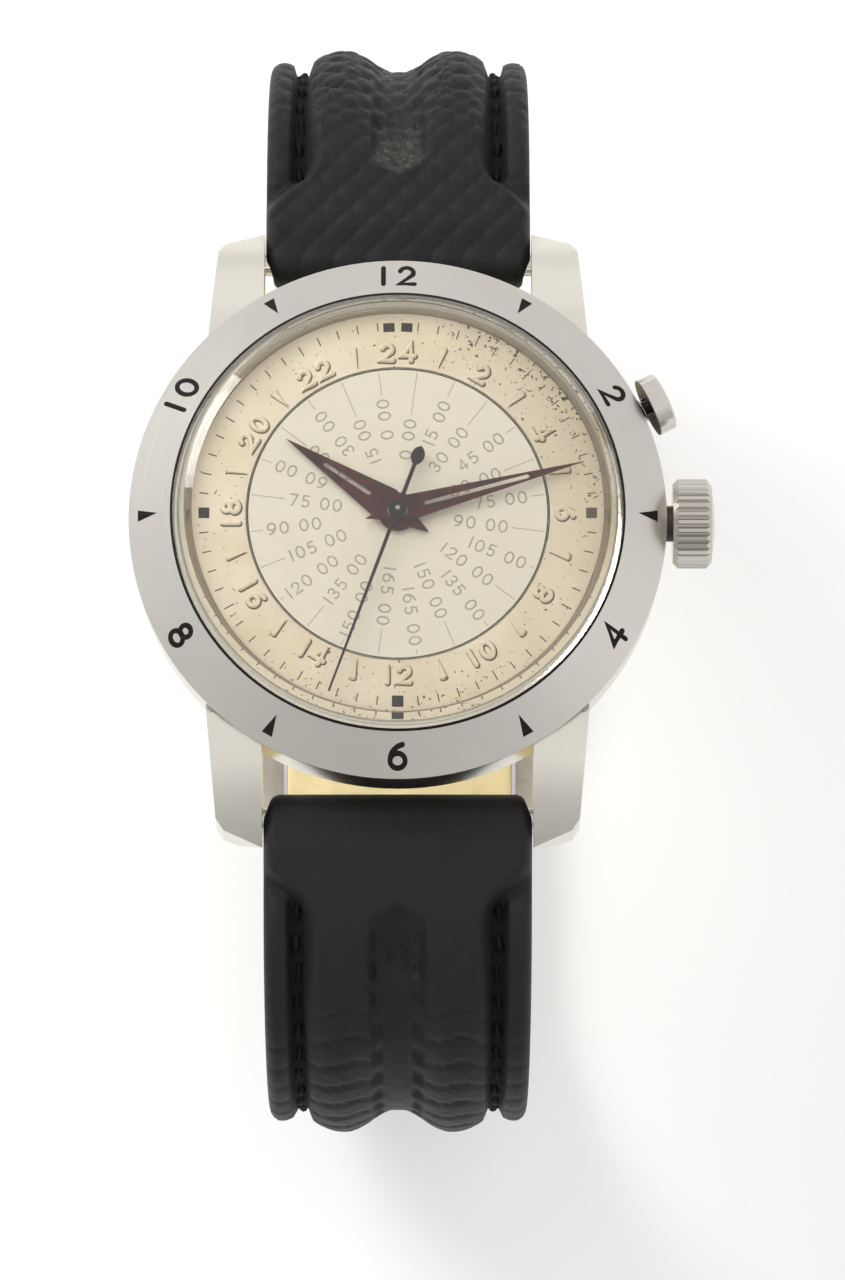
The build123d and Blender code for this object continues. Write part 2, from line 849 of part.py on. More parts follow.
# Crown: fluted knob with a domed cap, bored for the tube and the stem
crown_outer_reach = crown_inner_reach + crown_length
crown_recess_end = tube_outer_reach + free_gap + gasket_width / 2
with BuildPart() as crown:
    flute_points = []
    for flute in range(crown_flutes):
        for radius, share in (
            (crown_radius - flute_depth, 0),
            (crown_radius, root_share),
            (crown_radius, root_share + 2 * pitch_share),
            (crown_radius - flute_depth, 2 * root_share + 2 * pitch_share),
        ):
            flute_points.append(polar(radius, (flute + share) * 360 / crown_flutes))
    with BuildSketch(stem_axis.offset(crown_inner_reach)):
        with BuildLine():
            Polyline(*flute_points, close=True)
        make_face()
    extrude(amount=crown_length)
    with BuildSketch(Plane.XZ):
        with BuildLine():
            Polyline(
                (crown_inner_reach, crown_axis_height),
                (crown_inner_reach, crown_axis_height + crown_radius - crown_chamfer),
                (crown_inner_reach + crown_chamfer, crown_axis_height + crown_radius),
                (crown_outer_reach - crown_chamfer, crown_axis_height + crown_radius),
                (crown_outer_reach, crown_axis_height + crown_radius - crown_chamfer),
                (crown_outer_reach, crown_axis_height),
                close=True,
            )
        make_face()
    revolve(axis=Axis((0, 0, crown_axis_height), (1, 0, 0)), mode=Mode.INTERSECT)
    cap_radius = crown_radius - crown_chamfer - flute_depth
    with BuildSketch(Plane.XZ):
        with BuildLine():
            Line(
                (crown_outer_reach - crown_cap, crown_axis_height),
                (crown_outer_reach + crown_cap, crown_axis_height),
            )
            ThreePointArc(
                (crown_outer_reach + crown_cap, crown_axis_height),
                (crown_outer_reach + crown_cap * crown_cap_share, crown_axis_height + cap_radius / 2),
                (crown_outer_reach, crown_axis_height + cap_radius),
            )
            Polyline(
                (crown_outer_reach, crown_axis_height + cap_radius),
                (crown_outer_reach - crown_cap, crown_axis_height + cap_radius),
                (crown_outer_reach - crown_cap, crown_axis_height),
            )
        make_face()
    revolve(axis=Axis((0, 0, crown_axis_height), (1, 0, 0)))
    add(
        turned(
            stem_axis,
            [
                (tube_radius + running_gap, crown_inner_reach - overrun, crown_recess_end),
                (stem_radius + press_gap, crown_inner_reach, crown_recess_end + stem_grip),
            ],
        ),
        mode=Mode.SUBTRACT,
    )
crown.part.label = "crown"
export_step(crown.part, "parts/crown.step")

with BuildPart() as crown_gasket:
    with BuildSketch(stem_axis.offset(crown_recess_end - gasket_width / 2 + press_gap)):
        Circle(tube_radius)
        Circle(stem_radius + press_gap, mode=Mode.SUBTRACT)
    extrude(amount=gasket_width / 2 - 2 * press_gap)
crown_gasket.part.label = "crown_gasket"
export_step(crown_gasket.part, "parts/crown_gasket.step")

# Winding stem: from the crown through the tube into the plate
stem_gap_radius = stem_radius + running_gap
with BuildPart() as winding_stem:
    add(turned(stem_axis, [(stem_radius, stem_inner_reach, crown_recess_end + stem_grip - press_gap)]))
    with BuildSketch(stem_axis.offset(setting_lever_reach - stem_groove_width / 2)):
        Circle(stem_radius + overrun)
        Circle(stem_radius - stem_groove_depth, mode=Mode.SUBTRACT)
    extrude(amount=stem_groove_width, mode=Mode.SUBTRACT)
winding_stem.part.label = "winding_stem"
export_step(winding_stem.part, "parts/winding_stem.step")


def stem_gear_outline(radius, depth, teeth, phase):
    """Outline of a straight-toothed pinion round the stem."""
    points = []
    for tooth in range(teeth):
        for level, share in (
            (radius - depth, -root_share),
            (radius, -tip_share),
            (radius, tip_share),
            (radius - depth, root_share),
        ):
            points.append(polar(level, phase + (tooth + share) * 360 / teeth))
    return points


# Winding pinion: turns with the stem and drives the crown wheel's pegs
with BuildPart() as winding_pinion:
    add(
        outline_part(
            stem_axis,
            winding_pinion_place,
            winding_pinion_length,
            stem_gear_outline(winding_pinion_radius, winding_tooth_depth, winding_teeth, -90),
        )
    )
    add(turned(stem_axis, [(stem_gap_radius, 0, plate_radius)]), mode=Mode.SUBTRACT)
winding_pinion.part.label = "winding_pinion"
export_step(winding_pinion.part, "parts/winding_pinion.step")

# Sliding pinion: grooved for the setting lever
groove_start = sliding_pinion_place + (sliding_pinion_length - sliding_groove_width) / 2
with BuildPart() as sliding_pinion:
    add(
        turned(
            stem_axis,
            [(sliding_pinion_radius, sliding_pinion_place, sliding_pinion_place + sliding_pinion_length)],
        )
    )
    with BuildSketch(stem_axis.offset(groove_start)):
        Circle(sliding_pinion_radius + overrun)
        Circle(sliding_pinion_radius - sliding_groove_depth, mode=Mode.SUBTRACT)
    extrude(amount=sliding_groove_width, mode=Mode.SUBTRACT)
    add(turned(stem_axis, [(stem_gap_radius, 0, plate_radius)]), mode=Mode.SUBTRACT)
sliding_pinion.part.label = "sliding_pinion"
export_step(sliding_pinion.part, "parts/sliding_pinion.step")

# Pusher button: head, stem and a recess for its spring
with BuildPart() as pusher_button:
    pusher_head_end = pusher_head_reach + pusher_head_length
    add(
        turned(
            pusher_axis,
            [
                (pusher_radius, pusher_head_reach, pusher_head_end),
                (pusher_stem_radius, pusher_stem_reach, pusher_head_reach),
            ],
        )
    )
    chamfer(pusher_button.edges().filter_by(GeomType.CIRCLE).sort_by(Axis.X)[-1], pusher_crown)
pusher_button.part.label = "pusher_button"
export_step(pusher_button.part, "parts/pusher_button.step")

# Pusher spring: a coil round the pusher's stem
spring_start = pusher_shoulder_reach + pusher_spring_wire + press_gap
spring_end = pusher_head_reach - pusher_spring_wire - press_gap
with BuildPart() as pusher_spring:
    with BuildLine() as pusher_coil:
        Helix(
            pitch=(spring_end - spring_start) / pusher_spring_turns,
            height=spring_end - spring_start,
            radius=pusher_spring_radius,
            center=pusher_axis.offset(spring_start).origin,
            direction=pusher_axis.z_dir,
        )
    with BuildSketch(Plane(origin=pusher_coil.line @ 0, z_dir=pusher_coil.line % 0)):
        Circle(pusher_spring_wire)
    sweep(path=pusher_coil.line, is_frenet=True)
pusher_spring.part.label = "pusher_spring"
export_step(pusher_spring.part, "parts/pusher_spring.step")

# Dial ring: fixed 24-hour scale with raised marks at the odd hours and two feet
with BuildPart() as dial:
    with BuildSketch(Plane.XY.offset(dial_low)):
        Circle(dial_radius)
        Circle(disc_radius + disc_edge_gap, mode=Mode.SUBTRACT)
    extrude(amount=dial_thickness)
    mark_outer = hour_mark_inner + hour_mark_length
    with BuildSketch(Plane.XY.offset(dial_top)):
        with PolarLocations(0, hour_marks, start_angle=180 / hour_marks):
            with BuildLine():
                Polyline(
                    (hour_mark_inner, 0),
                    (mark_outer, hour_mark_width / 2),
                    (mark_outer, -hour_mark_width / 2),
                    close=True,
                )
            make_face()
    extrude(amount=hour_mark_relief)
    for angle in dial_foot_angles:
        foot_place = polar(dial_foot_place_radius, angle)
        add(rod(foot_place, dial_foot_radius, plate_top - dial_foot_radius, dial_low))
dial.part.label = "dial"
export_step(dial.part, "parts/dial.step")

# City disc: turning disc with its pipe and toothed wheel
city_pipe_inner = hour_pipe_outer + running_gap
with BuildPart() as city_disc:
    add(turned(Plane.XY, [(disc_radius, disc_low, disc_top), (city_pipe_outer, city_wheel_low, disc_low)]))
    add(gear_part(centre_place, city_wheel_teeth, city_module, city_phase, city_wheel_low, wheel_thickness))
    add(turned(Plane.XY, [(city_pipe_inner, 0, crystal_top_height)]), mode=Mode.SUBTRACT)
city_disc.part.label = "city_disc"
export_step(city_disc.part, "parts/city_disc.step")


def hand_part(length, width, tail, widest, slot_end, clock_angle, low, bore):
    """A kite-shaped hand with a narrow slot, seen as clockwise from 12 o'clock."""
    turn = 90 - clock_angle
    with BuildPart() as hand:
        with BuildSketch(Plane.XY.rotated((0, 0, turn)).offset(low)):
            with BuildLine():
                Polyline((-tail, 0), (widest, width / 2), (length, 0), (widest, -width / 2), close=True)
            make_face()
            Circle(bore + hand_collet_wall)
            with Locations(((hand_slot_start + bore + slot_end) / 2, 0)):
                SlotOverall(slot_end - hand_slot_start - bore, hand_slot_width, mode=Mode.SUBTRACT)
            Circle(bore, mode=Mode.SUBTRACT)
        extrude(amount=hand_thickness)
    return hand.part


with BuildPart() as hour_hand:
    add(
        hand_part(
            hour_hand_length, hour_hand_width, hour_hand_tail, hour_widest, hour_slot_end,
            hour_hand_angle, hour_hand_height, hour_pipe_outer + press_gap,
        )
    )
hour_hand.part.label = "hour_hand"
export_step(hour_hand.part, "parts/hour_hand.step")

with BuildPart() as minute_hand:
    add(
        hand_part(
            minute_hand_length, minute_hand_width, minute_hand_tail, minute_widest, minute_slot_end,
            minute_hand_angle, minute_hand_height, cannon_outer + press_gap,
        )
    )
minute_hand.part.label = "minute_hand"
export_step(minute_hand.part, "parts/minute_hand.step")

# Seconds hand: needle, round boss and a tail that ends in a leaf
seconds_plane = Plane.XY.rotated((0, 0, 90 - seconds_hand_angle)).offset(seconds_hand_height)
leaf_start = seconds_tail_length - seconds_leaf_length
with BuildPart() as seconds_hand:
    with BuildSketch(seconds_plane):
        with BuildLine():
            for side in (-1, 1):
                ThreePointArc(
                    (-leaf_start, side * seconds_hand_width / 2),
                    (-leaf_start - seconds_leaf_length * seconds_leaf_share, side * seconds_leaf_width / 2),
                    (-seconds_tail_length, 0),
                )
            Polyline(
                (-leaf_start, -seconds_hand_width / 2),
                (0, -seconds_hand_width / 2),
                (seconds_hand_length, -seconds_tip_width / 2),
                (seconds_hand_length, seconds_tip_width / 2),
                (0, seconds_hand_width / 2),
                (-leaf_start, seconds_hand_width / 2),
            )
        make_face()
    extrude(amount=hand_thickness)
    boss_top = seconds_hand_height + seconds_boss_height
    add(rod(centre_place, seconds_boss_radius, seconds_hand_height, boss_top))
    add(rod(centre_place, seconds_arbor_radius + press_gap, 0, crystal_top_height), mode=Mode.SUBTRACT)
seconds_hand.part.label = "seconds_hand"
export_step(seconds_hand.part, "parts/seconds_hand.step")

# Motion work under the dial
cannon_bore = centre_tube_outer + running_gap
cannon_top = minute_hand_height + hand_thickness
cannon_teeth_height = hour_wheel_low - free_gap - cannon_low
with BuildPart() as cannon_pinion:
    add(gear_part(centre_place, cannon_teeth, motion_module, 0, cannon_low, cannon_teeth_height))
    add(turned(Plane.XY, [(cannon_outer, cannon_low, cannon_top)]))
    add(turned(Plane.XY, [(cannon_bore, 0, crystal_top_height)]), mode=Mode.SUBTRACT)
cannon_pinion.part.label = "cannon_pinion"
export_step(cannon_pinion.part, "parts/cannon_pinion.step")

motion_post_foot = plate_top - plate_thickness / 2
minute_pinion_low = minute_wheel_low + wheel_thickness
minute_pinion_height = hour_wheel_low + wheel_thickness + running_gap - minute_pinion_low
with BuildPart() as minute_wheel:
    add(
        gear_part(
            minute_place, minute_wheel_teeth, motion_module, minute_phase, minute_wheel_low, wheel_thickness
        )
    )
    add(
        gear_part(
            minute_place, minute_pinion_teeth, hour_module, 0,
            minute_pinion_low, minute_pinion_height,
        )
    )
    add(rod(minute_place, arbor_radius, motion_post_foot, minute_wheel_low))
minute_wheel.part.label = "minute_wheel"
export_step(minute_wheel.part, "parts/minute_wheel.step")

hour_pipe_inner = cannon_outer + running_gap
hour_pipe_top = hour_hand_height + hand_thickness
with BuildPart() as hour_wheel:
    add(gear_part(centre_place, hour_wheel_teeth, hour_module, hour_phase, hour_wheel_low, wheel_thickness))
    add(gear_part(centre_place, transfer_teeth, transfer_module, 0, transfer_low, wheel_thickness))
    add(turned(Plane.XY, [(hour_pipe_outer, hour_wheel_low, hour_pipe_top)]))
    add(turned(Plane.XY, [(hour_pipe_inner, 0, crystal_top_height)]), mode=Mode.SUBTRACT)
hour_wheel.part.label = "hour_wheel"
export_step(hour_wheel.part, "parts/hour_wheel.step")

transfer_pinion_low = transfer_low + wheel_thickness
transfer_pinion_height = city_wheel_low + wheel_thickness + running_gap - transfer_pinion_low
with BuildPart() as transfer_wheel:
    add(
        gear_part(
            transfer_place, transfer_teeth, transfer_module, transfer_phase, transfer_low, wheel_thickness
        )
    )
    add(
        gear_part(
            transfer_place, transfer_pinion_teeth, city_module, 0,
            transfer_pinion_low, transfer_pinion_height,
        )
    )
    add(rod(transfer_place, arbor_radius, motion_post_foot, transfer_low))
transfer_wheel.part.label = "transfer_wheel"
export_step(transfer_wheel.part, "parts/transfer_wheel.step")

with BuildPart() as setting_wheel:
    add(
        gear_part(
            setting_place, setting_teeth, motion_module, setting_phase, minute_wheel_low, wheel_thickness
        )
    )
    add(rod(setting_place, arbor_radius, crown_axis_height + stem_radius, minute_wheel_low))
setting_wheel.part.label = "setting_wheel"
export_step(setting_wheel.part, "parts/setting_wheel.step")

# Setting lever: its pin sits in the stem's groove
lever_low = plate_top + free_gap
setting_pin_low = crown_axis_height + stem_radius - stem_groove_depth + running_gap
setting_pivot = (setting_lever_reach + crown_travel / 2, setting_lever_arm)
with BuildPart() as setting_lever:
    add(bar_between(setting_pivot, (setting_lever_reach, 0), lever_width, lever_low, lever_thickness))
    add(rod(setting_pivot, lever_post_radius, plate_top - plate_thickness / 2, lever_low))
    add(rod((setting_lever_reach, 0), setting_pin_radius, setting_pin_low, lever_low))
setting_lever.part.label = "setting_lever"
export_step(setting_lever.part, "parts/setting_lever.step")

# Corrector lever: carries the pusher's stroke to the city wheel's edge
corrector_place = polar(*corrector_pivot)
city_tip_radius = city_wheel_teeth * city_module / 2 + addendum_share * city_module
beak_place = polar(city_tip_radius + corrector_beak_gap + lever_width / 2, corrector_beak_angle)
tab_reach = pusher_stem_reach - corrector_gap - corrector_tab_thickness / 2
tab_place = polar(tab_reach, pusher_angle)
with BuildPart() as corrector_lever:
    add(bar_between(corrector_place, beak_place, lever_width, city_wheel_low, lever_thickness))
    add(bar_between(corrector_place, tab_place, lever_width, city_wheel_low, lever_thickness))
    add(rod(corrector_place, lever_post_radius, plate_top - plate_thickness / 2, city_wheel_low))
    with BuildSketch(Plane.XY.offset(crown_axis_height - pusher_stem_radius)):
        with Locations(Location((tab_place[0], tab_place[1], 0), (0, 0, pusher_angle))):
            Rectangle(corrector_tab_thickness, corrector_tab_width)
    extrude(amount=city_wheel_low + lever_thickness - crown_axis_height + pusher_stem_radius)
corrector_lever.part.label = "corrector_lever"
export_step(corrector_lever.part, "parts/corrector_lever.step")

# Main plate, with its windows for the stem's pinions and the pusher, and its pivot holes
window_start = sliding_pinion_place - sliding_travel - plate_window_margin
window_end = winding_pinion_place + winding_pinion_length + plate_window_margin
with BuildPart() as main_plate:
    with BuildSketch(Plane.XY.offset(plate_low)):
        Circle(plate_radius)
        Circle(centre_tube_outer + running_gap, mode=Mode.SUBTRACT)
        with Locations(((window_start + window_end) / 2, 0)):
            Rectangle(window_end - window_start, 2 * plate_window_half, mode=Mode.SUBTRACT)
    extrude(amount=plate_thickness)
    with BuildSketch(Plane.XY.rotated((0, 0, pusher_angle)).offset(plate_low - overrun)):
        with Locations((tab_reach - pusher_travel + plate_radius / 2, 0)):
            Rectangle(plate_radius + 2 * corrector_tab_thickness, lever_width + 2 * corrector_window_margin)
    extrude(amount=plate_thickness + 2 * overrun, mode=Mode.SUBTRACT)
    stem_gap = [(stem_gap_radius, stem_inner_reach - free_gap, case_radius)]
    add(turned(stem_axis, stem_gap), mode=Mode.SUBTRACT)
    with BuildSketch(Plane.XY.offset(plate_top - setting_pin_radius)):
        with Locations((setting_lever_reach + crown_travel / 2, 0)):
            SlotCenterToCenter(crown_travel + 2 * free_gap, setting_slot_width)
    extrude(amount=overrun, mode=Mode.SUBTRACT)
    for place in (third_place, fourth_place, escape_place, pallet_place, minute_place, transfer_place):
        add(rod(place, arbor_radius + running_gap, 0, dial_top), mode=Mode.SUBTRACT)
    add(rod(balance_place, staff_radius + running_gap, 0, dial_top), mode=Mode.SUBTRACT)
    add(rod(barrel_place, barrel_arbor_radius / 2 + running_gap, 0, dial_top), mode=Mode.SUBTRACT)
    add(rod(setting_place, arbor_radius + running_gap, crown_axis_height, dial_top), mode=Mode.SUBTRACT)
    for place in (setting_pivot, corrector_place):
        add(rod(place, lever_post_radius + running_gap, 0, dial_top), mode=Mode.SUBTRACT)
    for angle in dial_foot_angles:
        foot_place = polar(dial_foot_place_radius, angle)
        add(rod(foot_place, dial_foot_radius + press_gap, 0, dial_top), mode=Mode.SUBTRACT)
    for radius, angle in screw_places + (cock_screw_place,):
        add(rod(polar(radius, angle), screw_shank_radius + press_gap, 0, dial_top), mode=Mode.SUBTRACT)
main_plate.part.label = "main_plate"
export_step(main_plate.part, "parts/main_plate.step")


def bores(places, radius):
    """Round holes at several places, to be taken away from a piece under the dial."""
    with BuildPart() as holes:
        for place in places:
            add(rod(place, radius, 0, dial_top))
    return holes.part


screw_points = [polar(radius, angle) for radius, angle in screw_places]
cock_screw_point = polar(*cock_screw_place)
screw_hole_radius = screw_shank_radius + press_gap

# Train bridge: carries the third, fourth and escape wheels, open round the balance
jewel_hole_radius = jewel_radius + press_gap
with BuildPart() as train_bridge:
    with BuildSketch(Plane.XY.offset(bridge_low)):
        Circle(foot_reach)
        with Locations((train_split + foot_reach, 0)):
            Rectangle(2 * foot_reach, 2 * foot_reach, mode=Mode.SUBTRACT)
        with Locations(balance_place):
            Circle(balance_radius + balance_opening_gap, mode=Mode.SUBTRACT)
    extrude(amount=bridge_thickness)
    add(
        ring_sector(
            foot_reach - foot_width - free_gap, foot_reach + overrun, cock_foot[0] - cock_foot_margin,
            cock_foot[1] + 2 * cock_foot_margin, bridge_low - overrun, bridge_thickness + 2 * overrun,
        ),
        mode=Mode.SUBTRACT,
    )
    for start, sweep_angle in train_feet:
        add(
            ring_sector(
                foot_reach - foot_width, foot_reach, start, sweep_angle, bridge_top, plate_low - bridge_top
            )
        )
    add(bores((third_place, fourth_place, escape_place), jewel_hole_radius), mode=Mode.SUBTRACT)
    add(bores((centre_place,), centre_tube_outer + running_gap), mode=Mode.SUBTRACT)
    add(bores(screw_points, screw_hole_radius), mode=Mode.SUBTRACT)
train_bridge.part.label = "train_bridge"
export_step(train_bridge.part, "parts/train_bridge.step")

# Barrel bridge: carries the barrel arbor and the crown wheel
with BuildPart() as barrel_bridge:
    with BuildSketch(Plane.XY.offset(bridge_low)):
        Circle(foot_reach)
        with Locations((barrel_split - foot_reach, 0)):
            Rectangle(2 * foot_reach, 2 * foot_reach, mode=Mode.SUBTRACT)
    extrude(amount=bridge_thickness)
    for (start, sweep_angle), width in zip(barrel_feet, (barrel_foot_width, foot_width)):
        foot_height = plate_low - bridge_top
        add(ring_sector(foot_reach - width, foot_reach, start, sweep_angle, bridge_top, foot_height))
    add(bores((barrel_place,), barrel_arbor_radius / 2 + running_gap), mode=Mode.SUBTRACT)
    add(bores((crown_wheel_place,), 2 * arbor_radius + running_gap), mode=Mode.SUBTRACT)
    add(bores(screw_points, screw_hole_radius), mode=Mode.SUBTRACT)
barrel_bridge.part.label = "barrel_bridge"
export_step(barrel_bridge.part, "parts/barrel_bridge.step")

# Balance cock: a foot at the rim and an arm to the balance staff
cock_low = bridge_low - cock_thickness
cock_end = polar(foot_reach - foot_width / 2, cock_foot[0] + cock_foot[1] / 2)
with BuildPart() as balance_cock:
    add(bar_between(cock_end, balance_place, cock_width / 2, cock_low, cock_thickness))
    add(
        ring_sector(
            foot_reach - foot_width, foot_reach, cock_foot[0], cock_foot[1], cock_low, plate_low - cock_low
        )
    )
    add(rod(balance_place, 2 * jewel_radius, cock_low, bridge_low))
    add(bores((balance_place,), jewel_hole_radius), mode=Mode.SUBTRACT)
    add(bores((cock_screw_point,), screw_hole_radius), mode=Mode.SUBTRACT)
balance_cock.part.label = "balance_cock"
export_step(balance_cock.part, "parts/balance_cock.step")

# Jewels: one group of pierced stones in the bridges
with BuildPart() as jewels:
    for place in (third_place, fourth_place, escape_place):
        with BuildSketch(upright(place).offset(bridge_low)):
            Circle(jewel_radius)
            Circle(arbor_radius + running_gap, mode=Mode.SUBTRACT)
        extrude(amount=bridge_thickness)
    with BuildSketch(upright(balance_place).offset(cock_low)):
        Circle(jewel_radius)
        Circle(staff_radius + running_gap, mode=Mode.SUBTRACT)
    extrude(amount=cock_thickness)
jewels.part.label = "jewels"
export_step(jewels.part, "parts/jewels.step")

# Bridge screws: one group of slotted screws through the bridges into the plate
with BuildPart() as bridge_screws:
    seats = [(point, bridge_low) for point in screw_points] + [(cock_screw_point, cock_low)]
    for point, seat in seats:
        head_low = seat - press_gap - screw_head_height
        add(
            turned(
                upright(point),
                [
                    (screw_head_radius, head_low, seat - press_gap),
                    (screw_shank_radius, seat - press_gap, plate_low + plate_thickness / 2),
                ],
            )
        )
        with BuildSketch(upright(point).offset(head_low - overrun)):
            Rectangle(2 * (screw_head_radius + overrun), screw_slot_width)
        extrude(amount=overrun + screw_head_height / 2, mode=Mode.SUBTRACT)
bridge_screws.part.label = "bridge_screws"
export_step(bridge_screws.part, "parts/bridge_screws.step")

# Barrel drum: toothed cup for the mainspring
drum_radius = barrel_module * (barrel_teeth / 2 - 2 * dedendum_share)
drum_tooth_low = centre_wheel_low - free_gap - 2 * wheel_thickness - pinion_overhang
drum_floor = wheel_thickness / 2
with BuildPart() as barrel_drum:
    add(rod(barrel_place, drum_radius, drum_low, drum_low + drum_height))
    add(gear_part(barrel_place, barrel_teeth, barrel_module, 0, drum_tooth_low, 2 * wheel_thickness))
    add(
        rod(barrel_place, drum_radius - barrel_rim, 0, drum_low + drum_height - drum_floor),
        mode=Mode.SUBTRACT,
    )
    add(bores((barrel_place,), barrel_arbor_radius / 2 + running_gap), mode=Mode.SUBTRACT)
barrel_drum.part.label = "barrel_drum"
export_step(barrel_drum.part, "parts/barrel_drum.step")

with BuildPart() as barrel_arbor:
    add(
        turned(
            upright(barrel_place),
            [
                (barrel_arbor_radius / 2, ratchet_low, plate_low + plate_thickness / 2),
                (barrel_arbor_radius, drum_low + free_gap, drum_low + drum_height - drum_floor - free_gap),
            ],
        )
    )
barrel_arbor.part.label = "barrel_arbor"
export_step(barrel_arbor.part, "parts/barrel_arbor.step")

with BuildPart() as mainspring:
    add(
        spiral_strip(
            barrel_place,
            barrel_arbor_radius + press_gap + mainspring_strip / 2,
            drum_radius - barrel_rim - press_gap - mainspring_strip / 2,
            mainspring_turns,
            mainspring_strip,
            drum_low + free_gap,
            drum_height - drum_floor - 2 * free_gap,
        )
    )
mainspring.part.label = "mainspring"
export_step(mainspring.part, "parts/mainspring.step")

# Ratchet wheel and crown wheel, on the outside of the barrel bridge
with BuildPart() as ratchet_wheel:
    add(gear_part(barrel_place, ratchet_teeth, ratchet_module, 0, ratchet_low, ratchet_thickness))
    add(bores((barrel_place,), barrel_arbor_radius / 2 + press_gap), mode=Mode.SUBTRACT)
ratchet_wheel.part.label = "ratchet_wheel"
export_step(ratchet_wheel.part, "parts/ratchet_wheel.step")

peg_disc_top = crown_axis_height - winding_pinion_radius - winding_tooth_depth
peg_disc_radius = crown_peg_place + peg_disc_margin
with BuildPart() as crown_wheel:
    add(
        gear_part(
            crown_wheel_place, crown_wheel_teeth, ratchet_module, crown_wheel_phase, ratchet_low,
            ratchet_thickness,
        )
    )
    add(
        turned(
            upright(crown_wheel_place),
            [
                (2 * arbor_radius, ratchet_low, peg_disc_top),
                (peg_disc_radius, peg_disc_top - wheel_thickness, peg_disc_top),
            ],
        )
    )
    with BuildSketch(upright(crown_wheel_place).offset(peg_disc_top)):
        with PolarLocations(crown_peg_place, crown_peg_count, start_angle=180 / crown_peg_count):
            Rectangle(crown_peg_size, crown_peg_size)
    extrude(amount=winding_tooth_depth + 2 * free_gap)
crown_wheel.part.label = "crown_wheel"
export_step(crown_wheel.part, "parts/crown_wheel.step")

# Click: the pawl beside the ratchet wheel
ratchet_tip = ratchet_module * (ratchet_teeth / 2 + addendum_share)
click_reach = ratchet_tip + 2 * click_gap + click_width / 2
with BuildPart() as click:
    click_points = []
    for bearing in click_bearings:
        click_points.append(step_from(barrel_place, click_reach, bearing))
    add(bar_between(click_points[0], click_points[1], click_width, ratchet_low, ratchet_thickness))
click.part.label = "click"
export_step(click.part, "parts/click.step")

# Going train
centre_pinion_low = drum_tooth_low - pinion_overhang
centre_pinion_height = centre_wheel_low - centre_pinion_low
with BuildPart() as centre_wheel:
    add(gear_part(centre_place, centre_teeth, centre_module, 0, centre_wheel_low, wheel_thickness))
    centre_pitch_radius = centre_module * centre_teeth / 2
    add(
        windows_cut(centre_place, centre_pitch_radius, centre_wheel_low, centre_windows),
        mode=Mode.SUBTRACT,
    )
    add(
        gear_part(
            centre_place, centre_pinion_teeth, barrel_module, centre_phase, centre_pinion_low,
            centre_pinion_height,
        )
    )
    add(turned(Plane.XY, [(centre_tube_outer, bridge_low, hour_hand_height)]))
    add(turned(Plane.XY, [(centre_tube_inner, 0, crystal_top_height)]), mode=Mode.SUBTRACT)
centre_wheel.part.label = "centre_wheel"
export_step(centre_wheel.part, "parts/centre_wheel.step")

arbor_top = plate_low + pivot_depth
third_pinion_low = centre_wheel_low - pinion_overhang
pinion_height = wheel_thickness + 2 * pinion_overhang
sweep_wheel_low = ratchet_low + (ratchet_thickness - wheel_thickness) / 2
with BuildPart() as third_wheel:
    third_pitch_radius = third_module * third_teeth / 2
    for low, module in ((third_wheel_low, third_module), (sweep_wheel_low, sweep_module)):
        add(gear_part(third_place, third_teeth, module, 0, low, wheel_thickness))
        add(windows_cut(third_place, third_pitch_radius, low, third_windows), mode=Mode.SUBTRACT)
    add(
        gear_part(
            third_place, third_pinion_teeth, centre_module, third_phase,
            third_pinion_low, pinion_height,
        )
    )
    add(rod(third_place, arbor_radius, sweep_wheel_low, arbor_top))
third_wheel.part.label = "third_wheel"
export_step(third_wheel.part, "parts/third_wheel.step")

fourth_pinion_low = third_wheel_low - pinion_overhang
with BuildPart() as fourth_wheel:
    fourth_pitch_radius = fourth_module * fourth_teeth / 2
    add(gear_part(fourth_place, fourth_teeth, fourth_module, 0, fourth_wheel_low, wheel_thickness))
    add(
        windows_cut(fourth_place, fourth_pitch_radius, fourth_wheel_low, fourth_windows),
        mode=Mode.SUBTRACT,
    )
    add(
        gear_part(
            fourth_place, fourth_pinion_teeth, third_module, fourth_phase, fourth_pinion_low, pinion_height
        )
    )
    add(rod(fourth_place, arbor_radius, bridge_low, arbor_top))
fourth_wheel.part.label = "fourth_wheel"
export_step(fourth_wheel.part, "parts/fourth_wheel.step")

escape_pinion_low = fourth_wheel_low - pinion_overhang
with BuildPart() as escape_wheel:
    tooth_points = []
    for tooth in range(escape_teeth):
        for radius_share, share in escape_tooth_shares:
            tooth_points.append(polar(escape_radius * radius_share, (tooth + share) * 360 / escape_teeth))
    add(outline_part(upright(escape_place), escape_wheel_low, wheel_thickness, tooth_points))
    add(windows_cut(escape_place, escape_radius, escape_wheel_low, escape_windows), mode=Mode.SUBTRACT)
    add(
        gear_part(
            escape_place, escape_pinion_teeth, fourth_module, escape_phase,
            escape_pinion_low, pinion_height,
        )
    )
    add(rod(escape_place, arbor_radius, bridge_low, arbor_top))
escape_wheel.part.label = "escape_wheel"
export_step(escape_wheel.part, "parts/escape_wheel.step")

sweep_arbor_top = seconds_hand_height + seconds_boss_height + seconds_pin_rise
with BuildPart() as sweep_pinion:
    add(
        gear_part(
            centre_place, fourth_pinion_teeth, sweep_module, sweep_phase, ratchet_low, ratchet_thickness
        )
    )
    add(rod(centre_place, seconds_arbor_radius, ratchet_low, sweep_arbor_top))
sweep_pinion.part.label = "sweep_pinion"
export_step(sweep_pinion.part, "parts/sweep_pinion.step")

